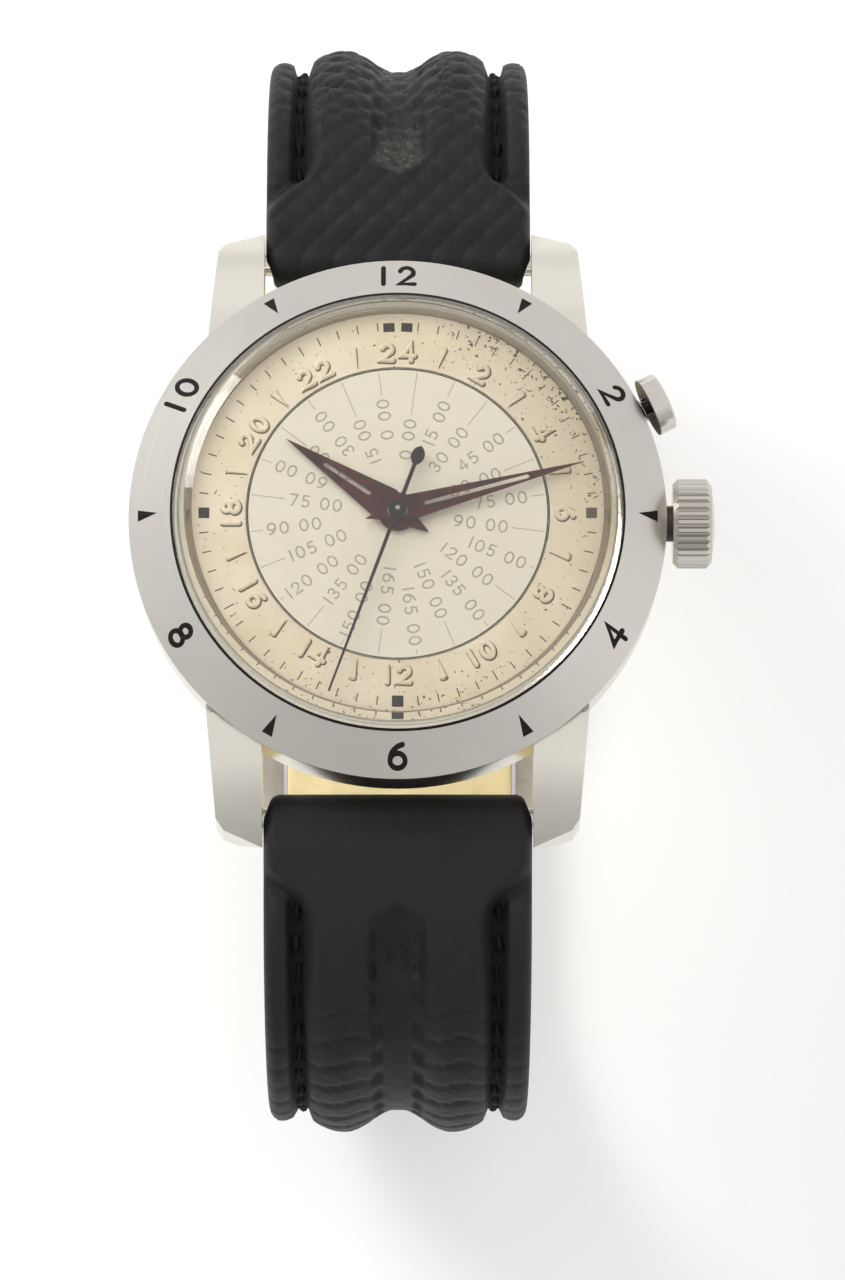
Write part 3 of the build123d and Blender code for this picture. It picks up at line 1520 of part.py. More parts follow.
# Pallet fork: two pallet arms and a fork arm, on a staff in the plate
pallet_to_balance = hypot(balance_place[0] - pallet_place[0], balance_place[1] - pallet_place[1])
fork_tip = step_from(pallet_place, pallet_to_balance - impulse_pin_place - fork_arm, line_of_escapement)
pallet_spread = degrees(fork_span / (escape_radius + fork_clearance))
with BuildPart() as pallet_fork:
    for sign in (-1, 1):
        pallet_end = step_from(
            escape_place,
            escape_radius + fork_clearance + fork_arm / 2,
            line_of_escapement + sign * pallet_spread,
        )
        add(bar_between(pallet_place, pallet_end, fork_arm, escape_wheel_low, wheel_thickness))
    add(bar_between(pallet_place, fork_tip, fork_arm, escape_wheel_low, wheel_thickness))
    add(rod(pallet_place, arbor_radius, escape_wheel_low - free_gap, arbor_top))
pallet_fork.part.label = "pallet_fork"
export_step(pallet_fork.part, "parts/pallet_fork.step")

# Balance wheel with its staff, roller and impulse pin
roller_top = escape_wheel_low - free_gap
with BuildPart() as balance_wheel:
    with BuildSketch(upright(balance_place).offset(balance_low)):
        Circle(balance_radius)
        Circle(balance_radius - balance_rim, mode=Mode.SUBTRACT)
    extrude(amount=balance_thickness)
    with BuildSketch(upright(balance_place).offset(balance_low)):
        Rectangle(2 * balance_radius - balance_rim, balance_arm)
    extrude(amount=wheel_thickness)
    add(
        turned(
            upright(balance_place),
            [
                (staff_radius, cock_low, arbor_top),
                (2 * arbor_radius, balance_low, balance_low + balance_thickness),
                (roller_radius, roller_top - wheel_thickness / 2, roller_top),
            ],
        )
    )
    pin_place = step_from(balance_place, impulse_pin_place, line_of_escapement + 180)
    add(rod(pin_place, impulse_pin_radius, roller_top, roller_top + free_gap / 2))
balance_wheel.part.label = "balance_wheel"
export_step(balance_wheel.part, "parts/balance_wheel.step")

with BuildPart() as hairspring:
    add(
        spiral_strip(
            balance_place,
            staff_radius + press_gap + hairspring_strip,
            hairspring_radius,
            hairspring_turns,
            hairspring_strip,
            bridge_low + hairspring_gap,
            hairspring_height,
        )
    )
hairspring.part.label = "hairspring"
export_step(hairspring.part, "parts/hairspring.step")

# Weight bridge: holds the oscillating weight's post and the two buffer posts
buffer_reach = weight_arm_width / 2 + buffer_radius + buffer_wire + free_gap
buffer_span = buffer_post_radius + buffer_length
buffer_lead = degrees(atan2(buffer_span, buffer_place_radius)) + degrees(
    atan2(buffer_reach, (buffer_place_radius ** 2 + buffer_span ** 2 - buffer_reach ** 2) ** 0.5)
)
buffer_angles = (90 + weight_swing + buffer_lead, 90 - weight_swing - buffer_lead)
auto_top = auto_bridge_low + auto_bridge_thickness
with BuildPart() as weight_bridge:
    far_foot = (-auto_foot_place[0], -auto_foot_place[1])
    add(bar_between(auto_foot_place, far_foot, auto_bridge_width, auto_bridge_low, auto_bridge_thickness))
    add(turned(Plane.XY, [(auto_hub_radius, auto_bridge_low, auto_top)]))
    for place in (auto_foot_place, far_foot):
        add(rod(place, auto_foot_radius, auto_top, bridge_low - press_gap))
    for angle in buffer_angles:
        post = polar(buffer_place_radius, angle)
        post_arm = 2 * (buffer_post_radius + free_gap)
        add(bar_between(centre_place, post, post_arm, auto_bridge_low, auto_bridge_thickness))
        add(rod(post, buffer_post_radius, buffer_height - buffer_radius - buffer_wire, auto_bridge_low))
    add(turned(Plane.XY, [(weight_post_radius, weight_low, auto_bridge_low)]))
weight_bridge.part.label = "weight_bridge"
export_step(weight_bridge.part, "parts/weight_bridge.step")

# Buffer springs: one at each end of the weight's swing
with BuildPart() as buffer_springs:
    for angle, side in zip(buffer_angles, (-1, 1)):
        post = polar(buffer_place_radius, angle)
        heading = angle + side * 90
        start = step_from(post, buffer_post_radius + buffer_wire + press_gap, heading)
        coil_length = buffer_length - 2 * buffer_wire
        with BuildLine() as coil:
            Helix(
                pitch=coil_length / buffer_turns,
                height=coil_length,
                radius=buffer_radius,
                center=(start[0], start[1], buffer_height),
                direction=(cos(radians(heading)), sin(radians(heading)), 0),
            )
        with BuildSketch(Plane(origin=coil.line @ 0, z_dir=coil.line % 0)):
            Circle(buffer_wire)
        sweep(path=coil.line, is_frenet=True)
buffer_springs.part.label = "buffer_springs"
export_step(buffer_springs.part, "parts/buffer_springs.step")

# Oscillating weight: heavy rim sector, arm and hub
with BuildPart() as oscillating_weight:
    add(
        ring_sector(
            weight_radius - weight_rim_width, weight_radius, 90 - weight_sweep / 2, weight_sweep,
            weight_low, weight_thickness,
        )
    )
    arm_low = weight_top - weight_arm_thickness
    arm_end = (0, weight_radius - weight_arm_width)
    add(bar_between(centre_place, arm_end, weight_arm_width, arm_low, weight_arm_thickness))
    add(turned(Plane.XY, [(weight_hub_radius, weight_low, weight_top)]))
    add(turned(Plane.XY, [(weight_post_radius + running_gap, 0, dial_top)]), mode=Mode.SUBTRACT)
oscillating_weight.part.label = "oscillating_weight"
export_step(oscillating_weight.part, "parts/oscillating_weight.step")

# Lug spring bars: one between each pair of lugs
with BuildPart() as lug_spring_bars:
    bar_half = lug_inner - press_gap
    for end in (-1, 1):
        bar_axis = Plane(
            origin=(0, end * spring_bar_reach, spring_bar_height), x_dir=(0, 1, 0), z_dir=(1, 0, 0)
        )
        pivot_half = lug_inner + spring_bar_pivot_length - press_gap
        add(
            turned(
                bar_axis,
                [
                    (spring_bar_radius, -bar_half, bar_half),
                    (spring_bar_pivot_radius, -pivot_half, pivot_half),
                ],
            )
        )
lug_spring_bars.part.label = "lug_spring_bars"
export_step(lug_spring_bars.part, "parts/lug_spring_bars.step")

# Strap path: (run, 0) is a straight run, (radius, turn) an arc; a positive turn closes the loop
strap_start = (spring_bar_reach, spring_bar_height)
strap_body_path = [
    (strap_first_run, 0),
    (strap_side_radius, strap_side_turn),
    (strap_side_run, 0),
    (strap_corner_radius, strap_corner_turn),
]


def trace(path, offset):
    """The path's outline at an offset outwards: a list of (first, middle, last) points."""
    point = strap_start
    heading = -strap_first_drop
    pieces = []

    def shifted(place, angle):
        return step_from(place, offset, angle + 90)

    for size, turn in path:
        if turn == 0:
            end_point = step_from(point, size, heading)
            pieces.append((shifted(point, heading), None, shifted(end_point, heading)))
            point = end_point
            continue
        side = -90 if turn > 0 else 90
        hub = step_from(point, size, heading + side)
        middle = step_from(hub, size, heading - side - turn / 2)
        end_point = step_from(hub, size, heading - side - turn)
        pieces.append(
            (
                shifted(point, heading),
                shifted(middle, heading - turn / 2),
                shifted(end_point, heading - turn),
            )
        )
        point = end_point
        heading = heading - turn
    return pieces


def band_part(end, path, low_x, high_x, low_offset, high_offset):
    """A slice of the strap: the path's band between two offsets, across part of the width."""
    inner = trace(path, low_offset)
    outer = trace(path, high_offset)
    with BuildPart() as band:
        with BuildSketch(Plane.YZ.offset(low_x)):
            with BuildLine():
                for pieces in (inner, outer):
                    for first, middle, last in pieces:
                        points = [(end * spot[0], spot[1]) for spot in (first, middle, last) if spot]
                        if middle:
                            ThreePointArc(*points)
                        else:
                            Line(*points)
                for index, side in ((0, 0), (-1, -1)):
                    low_spot = inner[index][side]
                    high_spot = outer[index][side]
                    Line((end * low_spot[0], low_spot[1]), (end * high_spot[0], high_spot[1]))
            make_face()
        extrude(amount=high_x - low_x)
    return band.part


corner = trace(strap_body_path, 0)[-1][2]
flat_height = corner[1]
strap_taper_low = flat_height - strap_taper_depth
cover_offset = lining_offset + lining_thickness
top_offset = cover_offset + cover_thickness
layer_drop = top_offset - lining_offset + strap_gap
bend_turn = degrees(2 * atan2((layer_drop / (4 * strap_bend_radius - layer_drop)) ** 0.5, 1))
bend_length = 2 * strap_bend_radius * sin(radians(bend_turn))
short_path = strap_body_path + [(corner[0] - buckle_bar_place, 0)]
flat_run = corner[0] + buckle_outer_bar_place
tail_radius = strap_corner_radius + layer_drop
long_path = strap_body_path + [
    (flat_run, 0),
    (strap_bend_radius, -bend_turn),
    (strap_bend_radius, bend_turn),
    (corner[0] - (bend_length + buckle_outer_bar_place), 0),
    (tail_radius, tail_turn),
]
pad_path = [(strap_first_run, 0), (strap_side_radius, pad_turn)]
ridge_path = strap_body_path[:3]


def taper_cut():
    """The strap's plan: full width at the lugs, narrower at the buckle."""
    top = strap_start[1] + 2 * (pad_rise + top_offset)
    with BuildPart() as plan:
        with BuildSketch(Plane.XZ):
            with BuildLine():
                Polyline(
                    (-strap_width / 2, top),
                    (strap_width / 2, top),
                    (strap_tip_width / 2, strap_taper_low),
                    (-strap_tip_width / 2, strap_taper_low),
                    close=True,
                )
            make_face()
        extrude(amount=2 * spring_bar_reach + case_radius, both=True)
    return plan.part


def strap_cover(end, path):
    """The outer leather of one half: nose round the spring bar, pad, ridges and flat band."""
    half = strap_width / 2
    nose_axis = Plane(origin=(0, end * strap_start[0], strap_start[1]), x_dir=(0, 1, 0), z_dir=(1, 0, 0))
    nose_radius = top_offset + pad_rise
    with BuildPart() as cover:
        add(band_part(end, path, -half, half, cover_offset, top_offset))
        add(band_part(end, pad_path, -half, half, cover_offset, nose_radius))
        for side in (-1, 1):
            for step, rise in ((0, ridge_height * ridge_step), (ridge_step, ridge_height)):
                low_x = ridge_inner_edge + step
                high_x = ridge_outer_edge - step
                span = (low_x, high_x) if side > 0 else (-high_x, -low_x)
                add(band_part(end, ridge_path, span[0], span[1], cover_offset, top_offset + rise))
        add(turned(nose_axis, [(nose_radius, -half, half)]))
        add(
            turned(nose_axis, [(spring_bar_radius + press_gap, -half - overrun, half + overrun)]),
            mode=Mode.SUBTRACT,
        )
        add(taper_cut(), mode=Mode.INTERSECT)
    return cover.part


def strap_lining(end, path):
    """The inner leather of one half, starting beyond the nose."""
    half = strap_width / 2
    nose_axis = Plane(origin=(0, end * strap_start[0], strap_start[1]), x_dir=(0, 1, 0), z_dir=(1, 0, 0))
    with BuildPart() as lining:
        add(band_part(end, path, -half, half, lining_offset, cover_offset))
        add(
            turned(nose_axis, [(top_offset + pad_rise + press_gap, -half - overrun, half + overrun)]),
            mode=Mode.SUBTRACT,
        )
        add(taper_cut(), mode=Mode.INTERSECT)
    return lining.part


# Buckle places on the flat of the loop
buckle_axis = Plane(origin=(0, buckle_bar_place, flat_height), x_dir=(0, 1, 0), z_dir=(1, 0, 0))
loop_bottom = flat_height - layer_drop - top_offset - strap_gap - keeper_thickness
outer_bar_height = loop_bottom + buckle_outer_bar_radius
nose_half = tang_width / 2 + free_gap
strap_end_radius = -lining_offset


def tang_slot():
    """The hole that the tang passes through, in the long half."""
    with BuildPart() as slot:
        with BuildSketch(Plane.XY.offset(loop_bottom - overrun)):
            with Locations((0, tang_slot_middle)):
                SlotOverall(tang_slot_length, tang_slot_width, rotation=90)
        extrude(amount=flat_height - loop_bottom + 2 * overrun)
    return slot.part


def nose_slot():
    """The gap in the short half's end for the tang's ring."""
    with BuildPart() as gap:
        with BuildSketch(Plane.XY.offset(loop_bottom)):
            with Locations((0, buckle_bar_place)):
                Rectangle(2 * nose_half, 2 * tang_slot_reach)
        extrude(amount=flat_height - loop_bottom + 2 * tang_ring_radius)
    return gap.part


# Short half, at 12 o'clock: its end is folded round the buckle's spring bar
with BuildPart() as strap_short_cover:
    add(strap_cover(1, short_path))
    add(turned(buckle_axis, [(strap_end_radius, -strap_tip_width / 2, strap_tip_width / 2)]))
    add(
        turned(buckle_axis, [(buckle_bar_radius + press_gap, -strap_width, strap_width)]),
        mode=Mode.SUBTRACT,
    )
    add(nose_slot(), mode=Mode.SUBTRACT)
strap_short_cover.part.label = "strap_short_cover"
export_step(strap_short_cover.part, "parts/strap_short_cover.step")

# Long half, at 6 o'clock: passes through the buckle and lies on the outside of the short half
with BuildPart() as strap_long_cover:
    add(strap_cover(-1, long_path))
    add(tang_slot(), mode=Mode.SUBTRACT)
strap_long_cover.part.label = "strap_long_cover"
export_step(strap_long_cover.part, "parts/strap_long_cover.step")

# Linings: one group, the inner leather of both halves
with BuildPart() as strap_linings:
    add(strap_lining(1, short_path))
    add(
        turned(buckle_axis, [(strap_end_radius + press_gap, -strap_width, strap_width)]),
        mode=Mode.SUBTRACT,
    )
    add(nose_slot(), mode=Mode.SUBTRACT)
    long_lining = strap_lining(-1, long_path)
    add(long_lining - tang_slot())
strap_linings.part.label = "strap_linings"
export_step(strap_linings.part, "parts/strap_linings.step")


def keeper_part(place):
    """A leather loop round both halves of the strap."""
    share = (strap_start[1] - flat_height) / (strap_start[1] - strap_taper_low)
    half_inner = (strap_width - (strap_width - strap_tip_width) * share) / 2 + strap_gap
    inner_high = flat_height - lining_offset + strap_gap
    inner_low = loop_bottom + keeper_thickness
    middle = (inner_high + inner_low) / 2
    with BuildPart() as keeper:
        with BuildSketch(Plane.XZ.offset(-place - keeper_width)):
            with Locations((0, middle)):
                Rectangle(
                    2 * (half_inner + keeper_thickness), inner_high - inner_low + 2 * keeper_thickness
                )
                Rectangle(2 * half_inner, inner_high - inner_low, mode=Mode.SUBTRACT)
        extrude(amount=keeper_width)
    return keeper.part


with BuildPart() as fixed_keeper:
    add(keeper_part(fixed_keeper_place))
fixed_keeper.part.label = "fixed_keeper"
export_step(fixed_keeper.part, "parts/fixed_keeper.step")

with BuildPart() as free_keeper:
    add(keeper_part(free_keeper_place))
free_keeper.part.label = "free_keeper"
export_step(free_keeper.part, "parts/free_keeper.step")

# Buckle frame: two side arms and an outer bar with a seat for the tang's tip
frame_inner = strap_tip_width / 2 + buckle_side_gap
frame_outer = frame_inner + buckle_wire
bar_spot = (buckle_outer_bar_place, outer_bar_height)
hinge_spot = (buckle_bar_place, flat_height)
arm_middle = ((bar_spot[0] + hinge_spot[0]) / 2, (bar_spot[1] + hinge_spot[1]) / 2)
arm_length = hypot(bar_spot[0] - hinge_spot[0], bar_spot[1] - hinge_spot[1])
outer_bar_axis = Plane(origin=(0, bar_spot[0], bar_spot[1]), x_dir=(0, 1, 0), z_dir=(1, 0, 0))
tang_seat_height = loop_bottom + tang_thickness
with BuildPart() as buckle_frame:
    for low_x in (-frame_outer, frame_inner):
        with BuildSketch(Plane.YZ.offset(low_x)):
            with Locations(arm_middle):
                SlotCenterToCenter(
                    arm_length, 2 * buckle_outer_bar_radius, rotation=bearing_between(bar_spot, hinge_spot)
                )
        extrude(amount=buckle_wire)
    add(turned(outer_bar_axis, [(buckle_outer_bar_radius, -frame_outer, frame_outer)]))
    frame_bore = buckle_pivot_radius + running_gap
    frame_end = frame_outer + overrun
    add(turned(buckle_axis, [(frame_bore, -frame_end, frame_end)]), mode=Mode.SUBTRACT)
    with BuildSketch(Plane.YZ.offset(-nose_half)):
        with Locations((bar_spot[0], tang_seat_height + running_gap - buckle_outer_bar_radius)):
            Rectangle(2 * buckle_outer_bar_radius + overrun, 2 * buckle_outer_bar_radius)
    extrude(amount=2 * nose_half, mode=Mode.SUBTRACT)
buckle_frame.part.label = "buckle_frame"
export_step(buckle_frame.part, "parts/buckle_frame.step")

# Buckle spring bar
with BuildPart() as buckle_spring_bar:
    add(
        turned(
            buckle_axis,
            [
                (buckle_bar_radius, -frame_inner + press_gap, frame_inner - press_gap),
                (buckle_pivot_radius, -frame_outer + press_gap, frame_outer - press_gap),
            ],
        )
    )
buckle_spring_bar.part.label = "buckle_spring_bar"
export_step(buckle_spring_bar.part, "parts/buckle_spring_bar.step")

# Tang: a ring round the spring bar and a bent tongue that rests on the outer bar
tang_tip = buckle_outer_bar_place - buckle_outer_bar_radius
with BuildPart() as buckle_tang:
    with BuildSketch(Plane.YZ.offset(-tang_width / 2)):
        with BuildLine():
            Polyline(
                (buckle_bar_place, flat_height + tang_thickness / 2),
                (tang_bend_place, tang_seat_height),
                (tang_tip, tang_seat_height),
                (tang_tip, loop_bottom),
                (tang_bend_place, loop_bottom),
                (buckle_bar_place, flat_height - tang_thickness / 2),
                close=True,
            )
        make_face()
    extrude(amount=tang_width)
    add(turned(buckle_axis, [(tang_ring_radius, -tang_width / 2, tang_width / 2)]))
    add(
        turned(buckle_axis, [(buckle_bar_radius + running_gap, -tang_width, tang_width)]),
        mode=Mode.SUBTRACT,
    )
buckle_tang.part.label = "buckle_tang"
export_step(buckle_tang.part, "parts/buckle_tang.step")
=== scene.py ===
from math import atan2, ceil, cos, degrees, floor, pi, radians, sin, sqrt

import bmesh
import bpy
from bpy.props import FloatProperty, FloatVectorProperty, PointerProperty
from mathutils import Matrix, Vector


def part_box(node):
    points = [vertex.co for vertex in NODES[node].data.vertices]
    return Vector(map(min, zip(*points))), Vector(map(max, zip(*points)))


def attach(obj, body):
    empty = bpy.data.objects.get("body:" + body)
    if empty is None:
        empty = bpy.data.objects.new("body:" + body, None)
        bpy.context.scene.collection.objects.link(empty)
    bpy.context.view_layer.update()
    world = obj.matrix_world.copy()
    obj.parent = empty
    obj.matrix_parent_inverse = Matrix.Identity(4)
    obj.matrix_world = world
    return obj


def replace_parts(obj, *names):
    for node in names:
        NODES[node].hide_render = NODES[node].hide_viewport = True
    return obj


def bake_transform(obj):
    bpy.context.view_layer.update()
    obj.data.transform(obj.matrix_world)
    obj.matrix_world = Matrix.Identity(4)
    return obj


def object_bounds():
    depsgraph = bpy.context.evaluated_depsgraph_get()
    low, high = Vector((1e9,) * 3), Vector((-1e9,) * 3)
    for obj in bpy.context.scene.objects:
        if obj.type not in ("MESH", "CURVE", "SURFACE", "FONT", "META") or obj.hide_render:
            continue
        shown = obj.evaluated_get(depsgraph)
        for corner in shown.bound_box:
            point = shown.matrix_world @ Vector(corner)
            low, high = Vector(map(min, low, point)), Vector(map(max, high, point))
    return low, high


bl_info = {
    "name": "World time wristwatch",
    "version": (1, 0, 0),
    "blender": (4, 5, 0),
    "location": "View3D > Sidebar > Watch",
    "description": "Dresses the packed wristwatch: strap, markings, finishes and studio",
    "category": "Object",
}

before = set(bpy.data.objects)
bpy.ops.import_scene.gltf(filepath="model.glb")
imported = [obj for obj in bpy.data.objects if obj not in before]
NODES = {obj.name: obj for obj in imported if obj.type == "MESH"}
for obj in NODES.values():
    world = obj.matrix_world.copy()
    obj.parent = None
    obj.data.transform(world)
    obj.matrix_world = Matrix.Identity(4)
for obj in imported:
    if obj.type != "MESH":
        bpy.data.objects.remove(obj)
CAD_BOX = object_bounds()
MM = 0.001


def linear(value):
    """A linear colour from an sRGB hex value."""
    channels = [int(value[start:start + 2], 16) / 255 for start in (0, 2, 4)]
    return tuple(c / 12.92 if c <= 0.04045 else ((c + 0.055) / 1.055) ** 2.4 for c in channels) + (1.0,)


def size_of(name, about, value):
    """A length in metres that a user can change, given in millimetres."""
    return FloatProperty(
        name=name, description=about, default=value * MM, min=0.0, unit="LENGTH", precision=5
    )


def colour_of(name, about, value):
    """A colour that a user can change, given as an sRGB hex value."""
    return FloatVectorProperty(
        name=name, description=about, default=linear(value), size=4, subtype="COLOR", min=0.0, max=1.0
    )


class WatchMetalSettings(bpy.types.PropertyGroup):
    steel: colour_of("Steel", "Colour of the case's stainless steel", "CFCBC4")
    satin_roughness: FloatProperty(
        name="Satin roughness", description="Roughness of the brushed steel", default=0.3, min=0.0, max=1.0
    )
    polish_roughness: FloatProperty(
        name="Polish roughness", description="Roughness of the polished steel", default=0.12, min=0.0,
        max=1.0,
    )
    brush_line: size_of("Brush line", "Spacing of the brushing lines", 0.12)
    brass: colour_of("Brass", "Colour of the wheels", "C9A55C")
    rhodium: colour_of("Rhodium", "Colour of the plates and bridges", "BDB9B0")


class WatchMarkingSettings(bpy.types.PropertyGroup):
    paint: colour_of("Paint", "Black filling of the bezel's engraving", "0D0B09")
    numeral_height: size_of("Numeral height", "Height of the bezel's numerals", 1.75)
    stroke: size_of("Stroke", "Width of the engraved strokes", 0.33)
    triangle_length: size_of("Triangle length", "Length of the hour triangles", 1.3)
    triangle_base: size_of("Triangle base", "Width of the hour triangles", 0.78)


class WatchDialSettings(bpy.types.PropertyGroup):
    cream: colour_of("Cream", "Colour of the aged dial", "FFF3E0")
    patina: colour_of("Patina", "Yellowed patches of the dial", "EFE0C0")
    stain: colour_of("Stain", "Dark specks of the dial", "33281B")
    haze: colour_of("Haze", "Painted shade greying the dial's right side", "B8A680")
    disc: colour_of("Disc", "Colour of the turning disc", "F8F3E6")
    print_grey: colour_of("Print", "Grey print of the disc", "B6AE9D")
    tick: colour_of("Tick", "Dark print of the minute track", "5A4F3D")
    numeral_height: size_of("Numeral height", "Height of the raised hour numerals", 1.42)
    numeral_stroke: size_of("Numeral stroke", "Width of the raised strokes", 0.34)
    numeral_relief: size_of("Numeral relief", "How far the numerals stand up", 0.18)
    wedge_length: size_of("Wedge length", "Length of the raised wedges between the numerals", 1.5)
    wedge_base: size_of("Wedge base", "Width of the wedges' outer end", 0.54)
    disc_stroke: size_of("Disc stroke", "Width of the disc's printed strokes", 0.115)
    disc_letter: size_of("Disc figure height", "Height of the disc's printed figures", 0.76)


class WatchStrapSettings(bpy.types.PropertyGroup):
    leather: colour_of("Leather", "Colour of the black leather", "0E0E0F")
    scuff: colour_of("Scuff", "Greyed leather in the middle groove", "66645B")
    lining: colour_of("Lining", "Colour of the lining leather", "C6B68A")
    thread: colour_of("Thread", "Colour of the waxed thread", "070707")
    grain: size_of("Grain", "Size of the leather's grain", 0.28)
    pad_length: size_of("Pad length", "Length of the full-width pad at the lugs", 3.0)
    ridge_height: size_of("Ridge height", "Height of the two padded ridges", 1.09)
    weave: size_of("Weave", "Width of one embossed strand", 1.55)
    weave_depth: size_of("Weave depth", "Depth of the embossing", 0.3)
    stitch: size_of("Stitch", "Length of one stitch", 1.5)
    thread_width: size_of("Thread width", "Diameter of the thread", 0.5)


class WatchStageSettings(bpy.types.PropertyGroup):
    floor: colour_of("Floor", "Colour of the floor", "F4F3F1")
    elevation: FloatProperty(
        name="Elevation", description="Camera's height over the floor", default=radians(74.95),
        subtype="ANGLE",
    )
    distance: size_of("Distance", "Camera's distance from the bezel", 600.0)
    lamp_power: FloatProperty(
        name="Lamp power", description="Power of the soft lamps", default=1.0, min=0.0
    )


# Materials

def add(tree, kind, inputs=None, **settings):
    """Adds one node: its own settings, then values or links for its inputs."""
    node = tree.nodes.new(kind)
    for key, value in settings.items():
        setattr(node, key, value)
    for key, value in (inputs or {}).items():
        if isinstance(value, bpy.types.NodeSocket):
            tree.links.new(value, node.inputs[key])
        else:
            node.inputs[key].default_value = value
    return node


def finish(name, **sockets):
    """A new material with its surface shader set: returns the material, its tree and the shader."""
    material = bpy.data.materials.new(name)
    material.use_nodes = True
    tree = material.node_tree
    shader = tree.nodes["Principled BSDF"]
    for key, value in sockets.items():
        shader.inputs[key.replace("_", " ").title().replace("Ior", "IOR")].default_value = value
    return material, tree, shader


def ramp(tree, fac, stops):
    """A colour ramp between (place, colour) stops."""
    node = add(tree, "ShaderNodeValToRGB", {0: fac})
    elements = node.color_ramp.elements
    while len(elements) < len(stops):
        elements.new(0.5)
    for element, (place, colour) in zip(elements, stops):
        element.position = place
        element.color = colour
    return node.outputs[0]


def grey(value):
    """A grey colour."""
    return (value, value, value, 1.0)


def tinted(colour, factor):
    """A colour made darker or lighter by a factor."""
    return tuple(min(1.0, c * factor) for c in colour[:3]) + (1.0,)


def maths(tree, operation, *values, **settings):
    """The result of one Math node."""
    return add(tree, "ShaderNodeMath", dict(enumerate(values)), operation=operation, **settings).outputs[0]


def mapped(tree, value, low, high, start=0.0, stop=1.0):
    """Maps a value between two limits to a range from a start to a stop, and holds it there."""
    return add(tree, "ShaderNodeMapRange", {0: value, 1: low, 2: high, 3: start, 4: stop}).outputs[0]


def vary(tree, shader, socket, fac, *stops):
    """Lets a texture, through a colour ramp, set one socket of a shader."""
    tree.links.new(ramp(tree, fac, stops), shader.inputs[socket])


def noise(tree, vector, size, detail=2.0, roughness=0.5):
    """Noise whose blotches have a size in millimetres."""
    return add(
        tree, "ShaderNodeTexNoise",
        {"Vector": vector, "Scale": 1 / (size * MM), "Detail": detail, "Roughness": roughness},
    ).outputs[0]


def bump(tree, shader, height, depth, strength=1.0):
    """Bump of a depth in millimetres on a shader."""
    node = add(tree, "ShaderNodeBump", {"Height": height, "Distance": depth * MM, "Strength": strength})
    tree.links.new(node.outputs[0], shader.inputs["Normal"])


def place_of(tree):
    """Places in the piece's own coordinates, in metres."""
    return add(tree, "ShaderNodeTexCoord").outputs["Object"]


def round_place(tree, place):
    """Distance from the dial's axis, angle round it, and height."""
    parts = add(tree, "ShaderNodeSeparateXYZ", {0: place}).outputs
    flat = add(tree, "ShaderNodeCombineXYZ", {0: parts[0], 1: parts[1], 2: 0.0}).outputs[0]
    reach = add(tree, "ShaderNodeVectorMath", {0: flat}, operation="LENGTH").outputs["Value"]
    return reach, maths(tree, "ARCTAN2", parts[1], parts[0]), parts[2]


def streaks(tree, place, spacing, run, kind):
    """Brushing lines: fine noise stretched along x, y, or round the dial's axis."""
    if kind == "round":
        reach, angle, height = round_place(tree, place)
        arc = maths(tree, "MULTIPLY", angle, ROUND_BRUSH_RADIUS * MM)
        place = add(tree, "ShaderNodeCombineXYZ", {0: arc, 1: reach, 2: height}).outputs[0]
    stretch = (spacing, run, spacing) if kind == "y" else (run, spacing, spacing)
    scaled = add(
        tree, "ShaderNodeVectorMath",
        {0: place, 1: tuple(1 / (side * MM) for side in stretch)}, operation="MULTIPLY",
    ).outputs[0]
    return add(tree, "ShaderNodeTexNoise", {"Vector": scaled, "Scale": 1.0, "Detail": 3.0}).outputs[0]


def brushed_steel(name, kind, settings, colour=None, depth=0.0025, roughness=None):
    """Stainless steel, satin-brushed: fine lines one way, soft glow across them and faint handling marks."""
    material, tree, shader = finish(name, metallic=1.0)
    place = place_of(tree)
    lines = streaks(tree, place, settings.brush_line / MM, 4.0, kind)
    base = tuple(colour or settings.steel)
    low = settings.satin_roughness if roughness is None else roughness
    smudge = noise(tree, place, 6.0, 4.0)
    vary(tree, shader, "Base Color", smudge, (0.35, tinted(base, 0.95)), (0.65, base))
    vary(tree, shader, "Roughness", lines, (0.3, grey(low - 0.03)), (0.7, grey(low + 0.05)))
    bump(tree, shader, lines, depth)
    return material


def polished_steel(name, settings, colour=None, roughness=None, underside_shade=None):
    """Stainless steel, mirror-polished and worn: clear highlights broken by hairline scratches.

    Its last argument is an angle over the dial and two reaches in millimetres, between which near-black
    painted shade, for the shade on the side towards the case, gives way to steel.
    """
    material, tree, shader = finish(name, metallic=1.0)
    base = tuple(colour or settings.steel)
    shader.inputs["Base Color"].default_value = base
    place = place_of(tree)
    # Painted shade: near black, giving way to steel between two reaches
    if underside_shade:
        shade = blend(tree, towards(tree, place, *underside_shade), linear("26231F"), base)
        tree.links.new(shade, shader.inputs["Base Color"])
    wear = noise(tree, place, 1.5, 6.0, 0.7)
    low = settings.polish_roughness if roughness is None else roughness
    vary(tree, shader, "Roughness", wear, (0.4, grey(low)), (0.75, grey(low + 0.14)))
    bump(tree, shader, wear, 0.003)
    return material


def gear_metal(name, colour, roughness, line):
    """Gear brass or steel, fine-ground: a tight grain, a soft shine and slightly darker patches."""
    material, tree, shader = finish(name, metallic=1.0)
    place = place_of(tree)
    fine = noise(tree, place, line, 3.0)
    tone = noise(tree, place, 3.0, 2.0)
    vary(tree, shader, "Base Color", tone, (0.35, tinted(colour, 0.85)), (0.65, tuple(colour)))
    vary(tree, shader, "Roughness", fine, (0.3, grey(roughness - 0.06)), (0.7, grey(roughness + 0.08)))
    bump(tree, shader, fine, 0.004)
    return material


def acrylic(name):
    """Acrylic crystal, moulded and polished: clear, slightly warm, with faint surface wear."""
    material, tree, shader = finish(name, roughness=0.02, ior=1.49)
    shader.inputs["Base Color"].default_value = linear("FEFCF6")
    shader.inputs["Transmission Weight"].default_value = 1.0
    bump(tree, shader, noise(tree, place_of(tree), 5.0, 1.0), 0.004)
    return material


